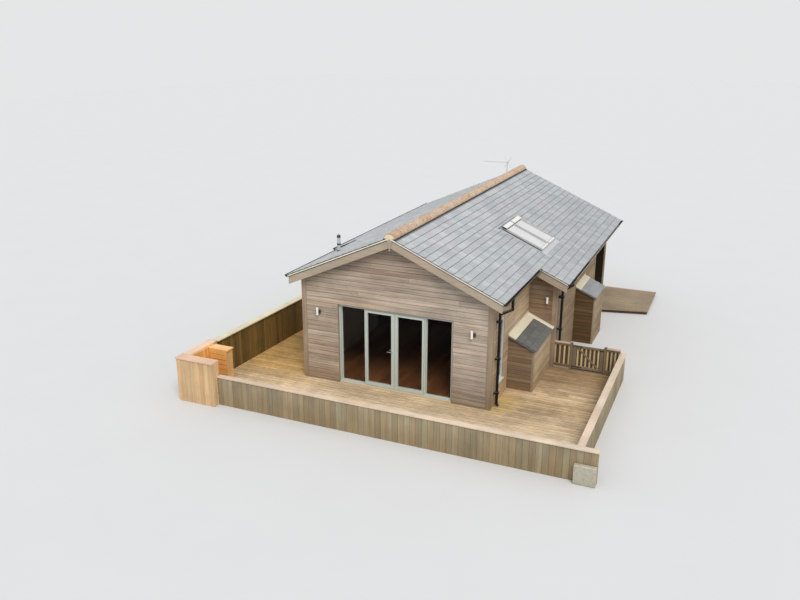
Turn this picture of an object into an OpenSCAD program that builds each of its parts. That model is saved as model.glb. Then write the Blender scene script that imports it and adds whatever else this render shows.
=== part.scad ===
// Timber-clad beach hut with a stepped slate roof, glazed doors, deck and fences.
// Millimetres, +Z up. The origin is the middle of the hut's plan, at ground level.
// The front gable faces -Y and the side extension stands on the +X side.

/* [Hut] */
// Width of the hut over its cladding
hut_w = 5000; // [4700:50:5400]
// Length of the hut over its cladding
hut_l = 10950; // [10400:50:11600]
// Thickness of the boards that are fixed to the walls
clad_t = 20; // [14:1:26]
// Thickness of a wall behind its boards
wall_t = 130; // [110:5:160]
// Height of the floor above the ground
floor_h = 180; // [165:1:200]

/* [Side extension] */
// How far the extension stands out from the side of the hut
ext_d = 740; // [650:10:900]
// From the front of the hut to the front of the extension
ext_start = 3200; // [3000:50:3500]
// Length of the open porch behind the extension
porch_l = 2350; // [2000:50:2600]
// From the front of the hut to the front of the left extension
left_start = 3985; // [3800:5:4300]

/* [Roof] */
// Pitch of the roof in degrees
pitch = 23.87; // [20:0.1:27]
// Height of the slates at the ridge
ridge_h = 4157; // [4050:10:4400]
// Build-up of slates on the roof deck
slate_t = 25; // [15:1:35]
// Thickness of the roof deck and rafters
roof_t = 130; // [100:5:160]
// Reach of the slates past the side walls
eave_over = 300; // [250:10:350]
// Reach of the extension's slates past its side wall
ext_eave = 330; // [260:10:380]
// Reach of the slates past the gable walls
verge_over = 210; // [160:10:260]
// Reach of the extension's slates past its front wall
ext_verge = 260; // [200:10:320]
// Depth of a bargeboard
barge_h = 220; // [180:5:260]
// Thickness of bargeboards and fascias
barge_t = 28; // [20:1:35]
// Reach of a ridge tile down each slope
ridge_wing = 142; // [120:1:190]
// Height of the mortar bed under the ridge tiles' edges
ridge_bed = 30; // [10:1:40]
// Height of the ridge tiles' crown above the slates
ridge_rise = 78; // [60:1:100]

/* [Roof windows] */
// Width of one roof window
rw_w = 700; // [600:10:860]
// Length of one roof window down the slope
rw_l = 1230; // [900:10:1300]
// Gap between the two roof windows
rw_gap = 50; // [40:5:120]
// From the ridge down the slope to the roof windows
rw_down = 1520; // [1400:10:1700]
// From the front of the hut to the first roof window
rw_start = 4145; // [3900:5:4500]
// Width of a roof window's frame
rw_frame = 55; // [45:1:75]
// Height of a roof window's frame above the roof deck
rw_up = 85; // [65:5:110]

/* [Door set] */
// Width of the doorway
door_w = 3040; // [2800:20:3200]
// Height of the door head above the ground
door_head = 2250; // [2180:10:2340]
// Middle of the doorway to the right of the gable's middle
door_x = 20; // [-60:10:80]
// Width of a fixed side light with its beads
side_w = 660; // [560:10:700]
// Width of the outer frame of the door set
jamb_w = 50; // [40:1:70]
// Width of a mullion
mullion_w = 30; // [26:1:50]
// From the front of the hut to the front of the door frame
door_set = 50; // [44:1:60]
// Depth of the door frame
frame_d = 95; // [90:1:105]
// Clearance round a door leaf
leaf_gap = 6; // [5:1:9]
// Thickness of a door leaf
leaf_t = 50; // [44:1:54]
// Width of a leaf's hinge stile
stile_w = 50; // [46:1:70]
// Width of the flat face of a leaf's meeting stile
meet_w = 58; // [54:1:70]
// Width of the stepped edge of a leaf's meeting stile
meet_step = 26; // [16:1:32]
// Height of a leaf's bottom rail
bottom_rail = 90; // [70:5:130]
// Height of a leaf's top rail
top_rail = 62; // [50:2:90]
// Thickness of a sealed glass unit
glass_t = 24; // [18:2:28]
// Height of the lever handle above the ground
handle_h = 1200; // [1120:10:1280]
// Reach of the lever handle
lever_l = 125; // [105:5:140]

/* [Side window] */
// From the front of the hut to the side window
sw_start = 450; // [380:10:520]
// Width of the side window
sw_w = 500; // [420:10:600]
// Height of the side window's sill above the ground
sw_sill = 630; // [560:10:800]
// Height of the side window's head above the ground
sw_head = 2230; // [2050:10:2300]

/* [Drainage and fittings] */
// Outer radius of a half-round gutter
gutter_r = 56; // [50:1:62]
// Outer radius of a downpipe
pipe_r = 34; // [30:1:38]
// Height of the flue above the slates
flue_h = 390; // [320:10:560]
// Outer radius of the flue
flue_r = 45; // [40:1:60]
// Height of the wall lamps' middle above the ground
lamp_z = 2005; // [1900:5:2100]
// Height of one wall lamp
lamp_h = 190; // [150:5:220]

/* [Cupboards] */
// How far the front cupboard stands out from its wall
cup1_d = 650; // [550:10:700]
// How far the back cupboard stands out from its wall
cup2_d = 580; // [500:10:700]
// Length of the front cupboard
cup1_l = 1800; // [1500:50:1900]
// Height of the front cupboard's roof at the wall
cup1_h = 1580; // [1480:10:1700]
// From the extension's front to the back cupboard
cup2_start = 2470; // [2300:10:2700]
// Length of the back cupboard
cup2_l = 1250; // [1000:10:1500]
// Height of the back cupboard's roof at the wall
cup2_h = 1700; // [1600:10:1900]
// Thickness of a cupboard's panels
panel_t = 36; // [25:1:45]

/* [Deck] */
// Height of the deck above the ground
deck_h = 150; // [130:1:160]
// Thickness of the deck boards
board_t = 28; // [20:1:34]
// Width of the deck in front of the hut
deck_front = 1965; // [1800:5:2200]
// From the hut's right side to the right low wall
deck_right = 2460; // [2300:10:2700]
// From the hut's left side to the left fence, at the front of the hut
deck_left = 1950; // [1800:5:2200]
// Turn of the left fence away from the hut's side, in degrees
fence_turn = 2.6; // [2:0.1:4]

/* [Fences] */
// Thickness of a boarded wall or fence
fence_t = 110; // [90:5:130]
// Width of the cap planks
cap_w = 150; // [135:5:180]
// Thickness of the cap planks
cap_t = 30; // [20:1:40]
// Height of the low walls over their caps
low_h = 750; // [650:10:850]
// Height of the left fence over its cap
high_h = 1160; // [1050:10:1250]
// Length of the tall corner piece along the front
corner_l = 820; // [700:10:1000]
// Width of the caps on the tall corner and its store
store_cap_w = 260; // [230:10:300]
// Reach of the front low wall past the right low wall
stub_l = 320; // [250:10:400]

/* [Gate] */
// Length of the fixed pickets beside the extension
pick_l = 460; // [400:10:500]
// Distance between the gate posts' middles
gate_w = 880; // [820:10:960]
// Height of the picket fence above the ground, over its caps
pick_h = 890; // [820:10:960]
// Side of a gate post
post_w = 70; // [60:1:80]
// Width of one picket
picket_w = 45; // [38:1:55]

/* [Corner store] */
// Depth of the store behind the tall corner
store_d = 650; // [550:10:750]
// Width of the store's slatted back wall
store_w = 520; // [440:10:600]
// Height of the slatted back wall above the deck, over its cap
store_h = 950; // [850:10:970]

/* [Rear platform] */
// How far the rear platform reaches from the extension
plat_w = 1740; // [1500:10:1900]
// Length of the rear platform
plat_l = 2650; // [2400:50:2900]
// Height of the rear platform above the ground
plat_h = 120; // [100:5:170]
// Turn of the rear platform's front edge, in degrees
plat_turn = 13; // [5:1:18]

/* [Hidden] */
$fn = 48;

// Faces of the hut: over the boards, of the wall frame and inside
half_w = hut_w / 2;
face_x = half_w - clad_t;
in_x = face_x - wall_t;
front_y = -hut_l / 2;
back_y = hut_l / 2;
face_front = front_y + clad_t;
face_back = back_y - clad_t;
in_front = face_front + wall_t;
in_back = face_back - wall_t;

// Faces of the extension and its porch
ext_x = half_w + ext_d;
ext_face = ext_x - clad_t;
ext_in = ext_face - wall_t;
ret_y = front_y + ext_start;
ret_face = ret_y + clad_t;
ret_in = ret_face + wall_t;
left_ret_y = front_y + left_start;
left_ret_face = left_ret_y + clad_t;
left_ret_in = left_ret_face + wall_t;
porch_y = back_y - porch_l;
porch_face = porch_y - clad_t;
porch_in = porch_face - wall_t;

// Roof planes
slope = tan(pitch);
deck_drop = slate_t / cos(pitch);
deck_v = roof_t / cos(pitch);
slab_edge = 70;
slab_x = half_w + eave_over - slab_edge;
ext_slab_x = ext_x + ext_eave - slab_edge;
slate_lap = 12;
slab_front = front_y - verge_over + barge_t + slate_lap;
slab_back = back_y + verge_over - barge_t - slate_lap;
ext_slab_front = ret_y - ext_verge + barge_t + slate_lap;
left_slab_front = left_ret_y - ext_verge + barge_t + slate_lap;
far = 20000;

// Door set
door_left = door_x - door_w / 2;
door_right = door_x + door_w / 2;
frame_y0 = front_y + door_set;
frame_y1 = frame_y0 + frame_d;
sill_t = 30;
head_t = 50;
bead_w = 20;
bead_t = 40;
bead_y = frame_y0 + 50;
leaf_left = door_left + jamb_w + side_w + mullion_w;
leaf_right = door_right - jamb_w - side_w - mullion_w;
leaf_w = (leaf_right - leaf_left - 3 * leaf_gap) / 2;
leaf_z0 = floor_h + sill_t + leaf_gap;
leaf_z1 = door_head - head_t - leaf_gap;
axis_back = 16;
axis_y = frame_y0 - axis_back;
leaf_dy = 6;
stop_w = 12;
stop_y = axis_y + leaf_dy + leaf_t + 5;
groove = 12;
meet_recess = 8;

// Hinges and handle
knuckle_r = 8;
knuckle_h = 42;
pin_r = 5;
run = 0.3;
hinge_inset = 190;
hinge_zs = [leaf_z0 + hinge_inset, (leaf_z0 + leaf_z1) / 2, leaf_z1 - hinge_inset - 2 * knuckle_h];
neck_r = 10;
rose_r = 26;
rose_t = 8;
lever_off = 46;
lever_r = 9;
handle_x = leaf_gap + leaf_w - meet_step - meet_w / 2;

// Fences and deck edges
yard_front = front_y - deck_front;
yard_right = half_w + deck_right;
deck_back = ret_face;
fence_y = ret_face + post_w / 2 + 5;
cap_over = (cap_w - fence_t) / 2;
deck_split = 6;
post1_x = ext_x + pick_l;
post2_x = post1_x + gate_w;
picket_t = 18;
rail_t = 32;
rail_h = 60;
rail_low_h = 75;
gate_z0 = deck_h + 50;
gate_top = pick_h - 45;
gate_gap = 10;
gate_hinge_out = 9;
corner_w = 95;
corner_t = 30;
seat = 0.3;
gutter_t = 3;
gutter_gap = 6;

function slab_top(x) = ridge_h - deck_drop - slope * abs(x);
function slab_under(x) = slab_top(x) - deck_v;
// Inner face of the left fence at a place along the hut
function left_x(y) = -half_w - deck_left + tan(fence_turn) * (y - front_y);

// Box between two opposite corners
module block(lo, hi) {
    translate(lo) cube(hi - lo);
}

// A profile drawn in X and Z, extruded from y0 to y1
module along_y(y0, y1) {
    translate([0, y1, 0]) rotate([90, 0, 0]) linear_extrude(y1 - y0) children();
}

// Everything below the underside of the roof deck, by the gap at which pieces are seated
module under_roof() {
    along_y(-far, far)
        polygon([[-far / 4, -1], [far / 4, -1], [far / 4, slab_under(far / 4) - seat],
                 [0, slab_under(0) - seat], [-far / 4, slab_under(far / 4) - seat]]);
}

// A wall from one corner to the other in plan, cut to the roof
module roofed_wall(lo, hi, z0 = 0) {
    intersection() {
        block([lo[0], lo[1], z0], [hi[0], hi[1], ridge_h]);
        under_roof();
    }
}

module wood() {
    color("rosybrown") children();
}

module floor() {
    color("saddlebrown") {
        block([-in_x, in_front, 0], [in_x, in_back, floor_h]);
        block([door_left, face_front, 0], [door_right, in_front + 1, floor_h]);
        block([in_x - 1, ret_in, 0], [ext_in, porch_in, floor_h]);
        block([-ext_in, left_ret_in, 0], [1 - in_x, in_back, floor_h]);
        block([face_x, porch_face, 0], [ext_face, in_back, floor_h]);
    }
}

module front_wall_left() {
    wood() block([-face_x, face_front, 0], [door_left, in_front, door_head]);
}

module front_wall_right() {
    wood() block([door_right, face_front, 0], [face_x, in_front, door_head]);
}

module front_gable() {
    wood() roofed_wall([-face_x, face_front], [face_x, in_front], door_head);
}

// The left side steps out as the right side does
module left_wall() {
    wood() intersection() {
        linear_extrude(ridge_h) polygon([
            [-face_x, in_front], [-in_x, in_front], [-in_x, left_ret_in], [-ext_in, left_ret_in],
            [-ext_in, in_back], [-ext_face, in_back], [-ext_face, left_ret_face], [-face_x, left_ret_face]]);
        under_roof();
    }
}

module right_wall() {
    wood() difference() {
        roofed_wall([in_x, in_front], [face_x, ret_in]);
        block([in_x - 1, front_y + sw_start, sw_sill], [face_x + 1, front_y + sw_start + sw_w, sw_head]);
    }
}

module return_wall() {
    wood() roofed_wall([face_x, ret_face], [ext_face, ret_in]);
}

module extension_wall() {
    wood() roofed_wall([ext_in, ret_in], [ext_face, porch_face]);
}

module porch_side_wall() {
    wood() roofed_wall([in_x, porch_in], [ext_in, porch_face]);
}

module porch_inner_wall() {
    wood() roofed_wall([in_x, porch_face], [face_x, in_back]);
}

// The porch's end wall stops short of the extension's face
end_short = 75;

module porch_end_wall() {
    wood() roofed_wall([face_x, in_back], [ext_face - end_short, face_back]);
}

module back_wall() {
    wood() roofed_wall([-ext_face, in_back], [face_x, face_back]);
}

// Roof deck on one side, as a profile between two distances from the ridge
module slab_profile(x0, x1) {
    polygon([[x0, slab_top(x0)], [x1, slab_top(x1)], [x1, slab_under(x1)], [x0, slab_under(x0)]]);
}

module roof_left() {
    color("slategray") along_y(slab_front, slab_back) slab_profile(-slab_x, 0);
}

// The right slope, laid flat: x runs down the slope, y along the ridge, z out of the roof
module on_right_slope() {
    translate([0, 0, slab_top(0)]) rotate([0, pitch, 0]) children();
}

rw_y0 = front_y + rw_start;
rw_rows = [rw_y0, rw_y0 + rw_w + rw_gap];

module roof_right() {
    color("slategray") difference() {
        along_y(slab_front, slab_back) slab_profile(0, slab_x);
        on_right_slope() for (y = rw_rows)
            block([rw_down, y, -roof_t * 2], [rw_down + rw_l, y + rw_w, roof_t]);
    }
}

module extension_roof() {
    color("slategray") {
        along_y(ext_slab_front, slab_back) slab_profile(slab_x, ext_slab_x);
        along_y(left_slab_front, slab_back) slab_profile(-ext_slab_x, -slab_x);
    }
}

rw_lip = 20;
rw_glass_z = rw_up - 35;

module roof_windows() {
    color("dimgray") on_right_slope() for (y = rw_rows) difference() {
        union() {
            block([rw_down + seat, y + seat, -roof_t], [rw_down + rw_l - seat, y + rw_w - seat, rw_up]);
            block([rw_down - rw_lip, y - rw_lip, seat],
                  [rw_down + rw_l + rw_lip, y + rw_w + rw_lip, rw_up - rw_lip]);
        }
        block([rw_down + rw_frame, y + rw_frame, -roof_t - 1],
              [rw_down + rw_l - rw_frame, y + rw_w - rw_frame, rw_up + 1]);
        block([rw_down + rw_frame - groove, y + rw_frame - groove, rw_glass_z],
              [rw_down + rw_l - rw_frame + groove, y + rw_w - rw_frame + groove, rw_glass_z + glass_t]);
    }
}

module roof_panes() {
    color("white") on_right_slope() for (y = rw_rows)
        block([rw_down + rw_frame - groove, y + rw_frame - groove, rw_glass_z],
              [rw_down + rw_l - rw_frame + groove, y + rw_w - rw_frame + groove, rw_glass_z + glass_t]);
}

// A ridge with a round crown on a bed, seated on both slopes
module ridge() {
    low = slab_top(ridge_wing) + seat;
    high = slab_top(0) + seat;
    edge_z = ridge_h - slope * ridge_wing + ridge_bed;
    rise = ridge_h + ridge_rise - edge_z;
    round_r = (ridge_wing * ridge_wing + rise * rise) / (2 * rise);
    color("peru") along_y(slab_front - barge_t, slab_back + barge_t) difference() {
        union() {
            intersection() {
                translate([0, edge_z + rise - round_r]) circle(r = round_r);
                translate([-ridge_wing, edge_z - 1]) square([2 * ridge_wing, rise + 1]);
            }
            translate([-ridge_wing, 0]) square([2 * ridge_wing, edge_z]);
        }
        polygon([[-ridge_wing - 1, 0], [ridge_wing + 1, 0], [ridge_wing + 1, low], [ridge_wing, low],
                 [0, high], [-ridge_wing, low], [-ridge_wing - 1, low]]);
    }
}

// A bargeboard from one side of the ridge to the other
module barge_profile(x_left, x_right) {
    drop = barge_h / cos(pitch);
    polygon([[x_left, slab_top(x_left)], [0, slab_top(0)], [x_right, slab_top(x_right)],
             [x_right, slab_top(x_right) - drop], [0, slab_top(0) - drop],
             [x_left, slab_top(x_left) - drop]]);
}

// Plate and drop at the apex of the front bargeboards
apex_w = 120;
apex_t = 14;
tip_w = 34;
tip_l = 76;

// Bargeboard over the front of an extension's roof
module extension_barge(front) {
    along_y(front - barge_t, front) intersection() {
        barge_profile(-slab_x, ext_slab_x + barge_t);
        translate([slab_x, 0]) square([ext_slab_x + barge_t - slab_x, ridge_h]);
    }
}

module front_bargeboards() {
    front = slab_front - barge_t;
    crown = slab_top(0) - barge_h / cos(pitch);
    side = apex_w / 2;
    color("tan") {
        along_y(slab_front - barge_t, slab_front) barge_profile(-slab_x - barge_t, slab_x + barge_t);
        along_y(front - apex_t, front + 1)
            polygon([[0, slab_top(0) - 4], [side, slab_top(side) - 4], [side, crown + apex_w],
                     [tip_w / 2, crown], [tip_w / 2, crown - tip_l], [-tip_w / 2, crown - tip_l],
                     [-tip_w / 2, crown], [-side, crown + apex_w], [-side, slab_top(side) - 4]]);
        extension_barge(ext_slab_front);
        mirror([1, 0, 0]) extension_barge(left_slab_front);
    }
}

module back_bargeboards() {
    color("tan") along_y(slab_back, slab_back + barge_t)
        barge_profile(-ext_slab_x - barge_t, ext_slab_x + barge_t);
}

// A fascia that closes the edge of the roof deck
module fascia(x, y0, y1) {
    side = sign(x);
    low = slab_under(x) - 12;
    along_y(y0, y1) polygon([[x, slab_top(x)], [x + side * barge_t, slab_top(abs(x) + barge_t)],
                             [x + side * barge_t, low], [x, low]]);
}

module fascias() {
    color("tan") {
        fascia(-slab_x, slab_front, left_slab_front - barge_t);
        fascia(-ext_slab_x, left_slab_front, slab_back);
        fascia(slab_x, slab_front, ext_slab_front - barge_t);
        fascia(ext_slab_x, ext_slab_front, slab_back);
    }
}

gutter_x = slab_x + barge_t + gutter_gap + gutter_r;
ext_gutter_x = ext_slab_x + barge_t + gutter_gap + gutter_r;
gutter_drop = 36;
bracket_w = 25;

function gutter_z(x) = slab_top(x) - gutter_drop + deck_drop;

// Lower half of a ring
module half_ring(r_out, r_in) {
    difference() {
        circle(r = r_out);
        circle(r = r_in);
        translate([-2 * r_out, 0]) square([4 * r_out, 2 * r_out]);
    }
}

// A half-round gutter right of its fascia, with stop ends and brackets
module gutter(x, y0, y1) {
    z = gutter_z(x - gutter_r);
    brackets = ceil((y1 - y0) / 1000);
    along_y(y0, y1) translate([x, z]) half_ring(gutter_r, gutter_r - gutter_t);
    for (end = [[y0, y0 + gutter_t], [y1 - gutter_t, y1]])
        along_y(end[0], end[1]) translate([x, z]) half_ring(gutter_r, 0.01);
    for (i = [0 : brackets]) {
        y = y0 + 40 + i * (y1 - y0 - 80 - bracket_w) / brackets;
        along_y(y, y + bracket_w) translate([x, z]) half_ring(gutter_r + gutter_t, gutter_r - 1);
        block([x - gutter_r - gutter_gap, y, z - 42], [x - gutter_r + 2, y + bracket_w, z]);
    }
}

gutter_end = 14;
gutter_y0 = slab_front - barge_t + gutter_end;
gutter_y1 = slab_back + barge_t - gutter_end;

module gutters() {
    color("black") {
        mirror([1, 0, 0]) {
            gutter(gutter_x, gutter_y0, left_slab_front - barge_t - gutter_end);
            gutter(ext_gutter_x, left_slab_front - barge_t + gutter_end, gutter_y1);
        }
        gutter(gutter_x, gutter_y0, ext_slab_front - barge_t - gutter_end);
        gutter(ext_gutter_x, ext_slab_front - barge_t + gutter_end, gutter_y1);
    }
}

clip_t = 20;
clip_w = 36;
socket = 5;
shoe_z = 60;
shoe_l = 70;
sleeve_l = 28;

// A straight pipe between two points, with a round socket at its end
module pipe_run(a, b, r) {
    d = b - a;
    translate(a) rotate([0, acos(d[2] / norm(d)), atan2(d[1], d[0])]) cylinder(r = r, h = norm(d));
    translate(b) sphere(r = r + socket);
}

// A downpipe at px from a gutter at gx to z_low, on a wall at wx. Its outlet stands lag behind it, and the
// swan neck falls by neck[0] and then, sloping, by neck[1]
module downpipe(gx, px, wx, z_low, lag, neck) {
    zg = gutter_z(gx - gutter_r) - gutter_r;
    bend = [gx, lag, zg - neck[0]];
    foot = [px, 0, bend[2] - neck[1]];
    z_end = z_low + shoe_z;
    pipe_run([gx, lag, zg - 1], bend, pipe_r);
    pipe_run(bend, foot, pipe_r);
    pipe_run(foot, [px, 0, z_end], pipe_r);
    translate([px, 0, z_end]) rotate([0, 135, 0]) cylinder(r = pipe_r, h = shoe_l);
    translate([gx, lag, zg - sleeve_l - 2]) cylinder(r = pipe_r + socket, h = sleeve_l);
    for (share = [0.12, 0.51, 0.92]) {
        z = z_end + share * (foot[2] - z_end);
        translate([px, 0, z]) cylinder(r = pipe_r + socket, h = clip_t);
        block([wx - clad_t, -clip_w / 2, z], [px, clip_w / 2, z + clip_t]);
    }
}

// Places of the downpipes along the hut, their distances from the walls and the falls of their swan necks
pipe_off = 80;
return_off = 100;
pipe_in = 270;
return_in = 175;
left_pipe_back = 150;
front_lag = 175;
front_neck = [262, 100];
plain_neck = [70, 190];

module downpipes() {
    color("black") {
        translate([0, front_y + pipe_in, 0])
            downpipe(gutter_x, half_w + pipe_off, half_w, deck_h + 25, front_lag, front_neck);
        translate([0, ret_y + return_in, 0])
            downpipe(ext_gutter_x, ext_x + return_off, ext_x, 40, 0, plain_neck);
        translate([0, left_ret_y - ext_verge - left_pipe_back, 0]) mirror([1, 0, 0])
            downpipe(gutter_x, half_w + pipe_off, half_w, 40, 0, plain_neck);
        translate([0, back_y - pipe_in, 0]) mirror([1, 0, 0])
            downpipe(ext_gutter_x, ext_x + return_off, ext_x, 40, 0, plain_neck);
    }
}

flue_x = -half_w + 212;
flue_y = front_y + 1600;
flue_below = 200;
flue_cut = 400;
flue_joint = 0.5;
joint_t = 34;
joint_out = 8;
cowl_out = 6;
cowl_h = 44;
dome_h = 32;
dome_tip_r = 24;
tip_r = 14;
tip_h = 20;
skirt_out = 34;
skirt_h = 140;

module flue() {
    base_z = slab_top(flue_x);
    color("lightgray") difference() {
        translate([flue_x, flue_y, base_z]) {
            translate([0, 0, -flue_below]) cylinder(r = flue_r, h = flue_below + flue_h);
            translate([0, 0, flue_h * flue_joint]) cylinder(r = flue_r + joint_out, h = joint_t);
            translate([0, 0, flue_h]) cylinder(r = flue_r + cowl_out, h = cowl_h);
            translate([0, 0, flue_h + cowl_h]) cylinder(r1 = flue_r + cowl_out, r2 = dome_tip_r, h = dome_h);
            translate([0, 0, flue_h + cowl_h + dome_h]) cylinder(r = tip_r, h = tip_h);
            translate([0, 0, -flue_below / 2])
                cylinder(r1 = flue_r + skirt_out, r2 = flue_r + 6, h = skirt_h);
        }
        translate([flue_x, 0, base_z + seat]) along_y(flue_y - flue_cut, flue_y + flue_cut)
            polygon([[-flue_cut, -flue_cut * 2], [flue_cut, -flue_cut * 2],
                     [flue_cut, slope * flue_cut], [-flue_cut, -slope * flue_cut]]);
    }
}

aerial_x = -570;
aerial_z = ridge_h + 113;
aerial_out = 60;
mast_r = 15;
mast_over = 40;
mast_below = 435;
bracket_zs = [60, 300];
bracket_r = 10;
boom_l = 950;
boom_r = 9;
rod_l = 220;
rod_r = 5;
rod_step = 95;
stay_l = 420;
stay_tilt = 35;

module aerial() {
    mast_y = slab_back + barge_t + aerial_out;
    mast_low = slab_under(aerial_x) - mast_below;
    boom_x = aerial_x - boom_l + aerial_out;
    color("silver") {
        translate([aerial_x, mast_y, mast_low]) cylinder(r = mast_r, h = aerial_z + mast_over - mast_low);
        for (z = bracket_zs) translate([aerial_x, face_back, mast_low + z]) rotate([-90, 0, 0])
            cylinder(r = bracket_r, h = mast_y - face_back);
        translate([boom_x, mast_y, aerial_z]) rotate([0, 90, 0]) cylinder(r = boom_r, h = boom_l);
        for (i = [0 : 7]) translate([boom_x + 30 + i * rod_step, mast_y - rod_l / 2, aerial_z])
            rotate([-90, 0, 0]) cylinder(r = rod_r, h = rod_l);
        for (tilt = [-stay_tilt, stay_tilt]) translate([aerial_x + 20, mast_y, aerial_z]) rotate([0, tilt, 0])
            translate([0, 0, -stay_l / 2]) cylinder(r = rod_r + 2, h = stay_l);
    }
}

// Frame of the side window: depth behind the boards' inner face, reach past it, width, and its sill
sw_behind = 85;
sw_out = 5;
sw_frame = 55;
sill_side = 25;
sill_low = 28;
sill_up = 8;
sill_out = 50;
sw_glass_x = face_x - (sw_behind - sw_out + glass_t) / 2;

module side_window() {
    y0 = front_y + sw_start;
    y1 = y0 + sw_w;
    x0 = face_x - sw_behind;
    x1 = face_x + sw_out;
    g = sw_frame - groove;
    color("lightgray") {
        difference() {
            block([x0, y0, sw_sill], [x1, y1, sw_head]);
            block([x0 - 1, y0 + sw_frame, sw_sill + sw_frame], [x1 + 1, y1 - sw_frame, sw_head - sw_frame]);
            block([sw_glass_x, y0 + g, sw_sill + g], [sw_glass_x + glass_t, y1 - g, sw_head - g]);
        }
        block([face_x, y0 - sill_side, sw_sill - sill_low],
              [x1 + sill_out, y1 + sill_side, sw_sill + sill_up]);
    }
}

module side_window_pane() {
    y0 = front_y + sw_start;
    g = sw_frame - groove;
    color("lightblue")
        block([sw_glass_x, y0 + g, sw_sill + g], [sw_glass_x + glass_t, y0 + sw_w - g, sw_head - g]);
}

// Two boards round a corner, whose wall faces are at x and y, outward to sx and sy
module corner_board(x, y, sx, sy, z0) {
    intersection() {
        translate([x, y, z0]) scale([sx, sy, 1]) {
            block([0, -corner_w, 0], [corner_t, corner_t, ridge_h]);
            block([-corner_w, 0, 0], [corner_t, corner_t, ridge_h]);
        }
        under_roof();
    }
}

module corner_boards() {
    wood() {
        corner_board(-face_x, face_front, -1, -1, deck_h);
        corner_board(face_x, face_front, 1, -1, deck_h);
        difference() {
            corner_board(ext_face, ret_face, 1, -1, deck_h);
            block([face_x, ret_face - corner_t - 1, 0],
                  [face_x + cup1_d + clad_t + seat, ret_face + 1, cup1_h]);
        }
        difference() {
            corner_board(ext_face, porch_face, 1, 1, plat_h + 5);
            block([face_x, porch_face - 1, 0], [ext_face, in_back, floor_h + seat]);
        }
        corner_board(ext_face - end_short, face_back, 1, 1, 40);
        corner_board(-ext_face, left_ret_face, -1, -1, 40);
        corner_board(-ext_face, face_back, -1, 1, 40);
    }
}

lamp_r = 30;
lamp_out = 62;
lamp_left = 550;
lamp_right = 480;
lamp_return = 125;
lamp_small = 0.84;
plate_w = 48;
plate_h = 90;
plate_t = 12;

// An up and down light on a wall that faces -Y, at x and the wall face y
module wall_lamp(x, y, h) {
    front = y - clad_t;
    translate([x, front - lamp_out, lamp_z - h / 2]) cylinder(r = lamp_r, h = h);
    block([x - plate_w / 2, front - plate_t, lamp_z - plate_h / 2],
          [x + plate_w / 2, y, lamp_z + plate_h / 2]);
    block([x - plate_t, front - lamp_out, lamp_z - plate_t],
          [x + plate_t, front - plate_t + 2, lamp_z + plate_t]);
}

module wall_lamps() {
    color("silver") {
        wall_lamp(door_left - lamp_left, face_front, lamp_h);
        wall_lamp(door_right + lamp_right, face_front, lamp_h);
        wall_lamp((half_w + ext_x) / 2 + lamp_return, ret_face, lamp_h * lamp_small);
    }
}

// Plan positions of the two fixed side lights, between jamb and mullion
side_xs = [door_left + jamb_w, door_right - jamb_w - side_w];
light_z0 = floor_h + sill_t;
light_z1 = door_head - head_t;

// The frame's half of a lift-off hinge: knuckle, pin and plate, on the axis
module hinge_base(back, side) {
    cylinder(r = knuckle_r, h = knuckle_h);
    cylinder(r = pin_r, h = 2 * knuckle_h - 2);
    scale([side, 1, 1]) block([-24, -3, 0], [-4, back + 2, knuckle_h]);
}

// The moving half of a lift-off hinge: a bored knuckle on a flap of length l, at depth d
module hinge_eye(l, d, side) {
    difference() {
        union() {
            translate([0, 0, knuckle_h + run]) cylinder(r = knuckle_r, h = knuckle_h - run);
            scale([side, 1, 1]) block([pin_r + 0.5, d - 4, knuckle_h + run], [l, d + 1, 2 * knuckle_h]);
        }
        cylinder(r = pin_r + run, h = 3 * knuckle_h);
    }
}

module door_frame() {
    color("darkseagreen") {
        difference() {
            block([door_left, frame_y0, floor_h], [door_right, frame_y1, door_head]);
            for (x = side_xs)
                block([x, frame_y0 - 1, light_z0], [x + side_w, frame_y1 + 1, light_z1]);
            block([leaf_left, frame_y0 - 1, light_z0], [leaf_right, stop_y, light_z1]);
            block([leaf_left + stop_w, stop_y - 1, light_z0 + stop_w],
                  [leaf_right - stop_w, frame_y1 + 1, light_z1 - stop_w]);
        }
        for (z = hinge_zs) {
            translate([leaf_left, axis_y, z]) hinge_base(axis_back, 1);
            translate([leaf_right, axis_y, z]) hinge_base(axis_back, -1);
        }
    }
}

glass_y = bead_y + (bead_t - glass_t) / 2;

module side_lights() {
    color("darkseagreen") for (x = side_xs) difference() {
        block([x, bead_y, light_z0], [x + side_w, bead_y + bead_t, light_z1]);
        block([x + bead_w, bead_y - 1, light_z0 + bead_w],
              [x + side_w - bead_w, bead_y + bead_t + 1, light_z1 - bead_w]);
        block([x + bead_w - groove, glass_y, light_z0 + bead_w - groove],
              [x + side_w - bead_w + groove, glass_y + glass_t, light_z1 - bead_w + groove]);
    }
}

module side_light_panes() {
    e = bead_w - groove;
    color("lightblue") for (x = side_xs)
        block([x + e, glass_y, light_z0 + e], [x + side_w - e, glass_y + glass_t, light_z1 - e]);
}

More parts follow.
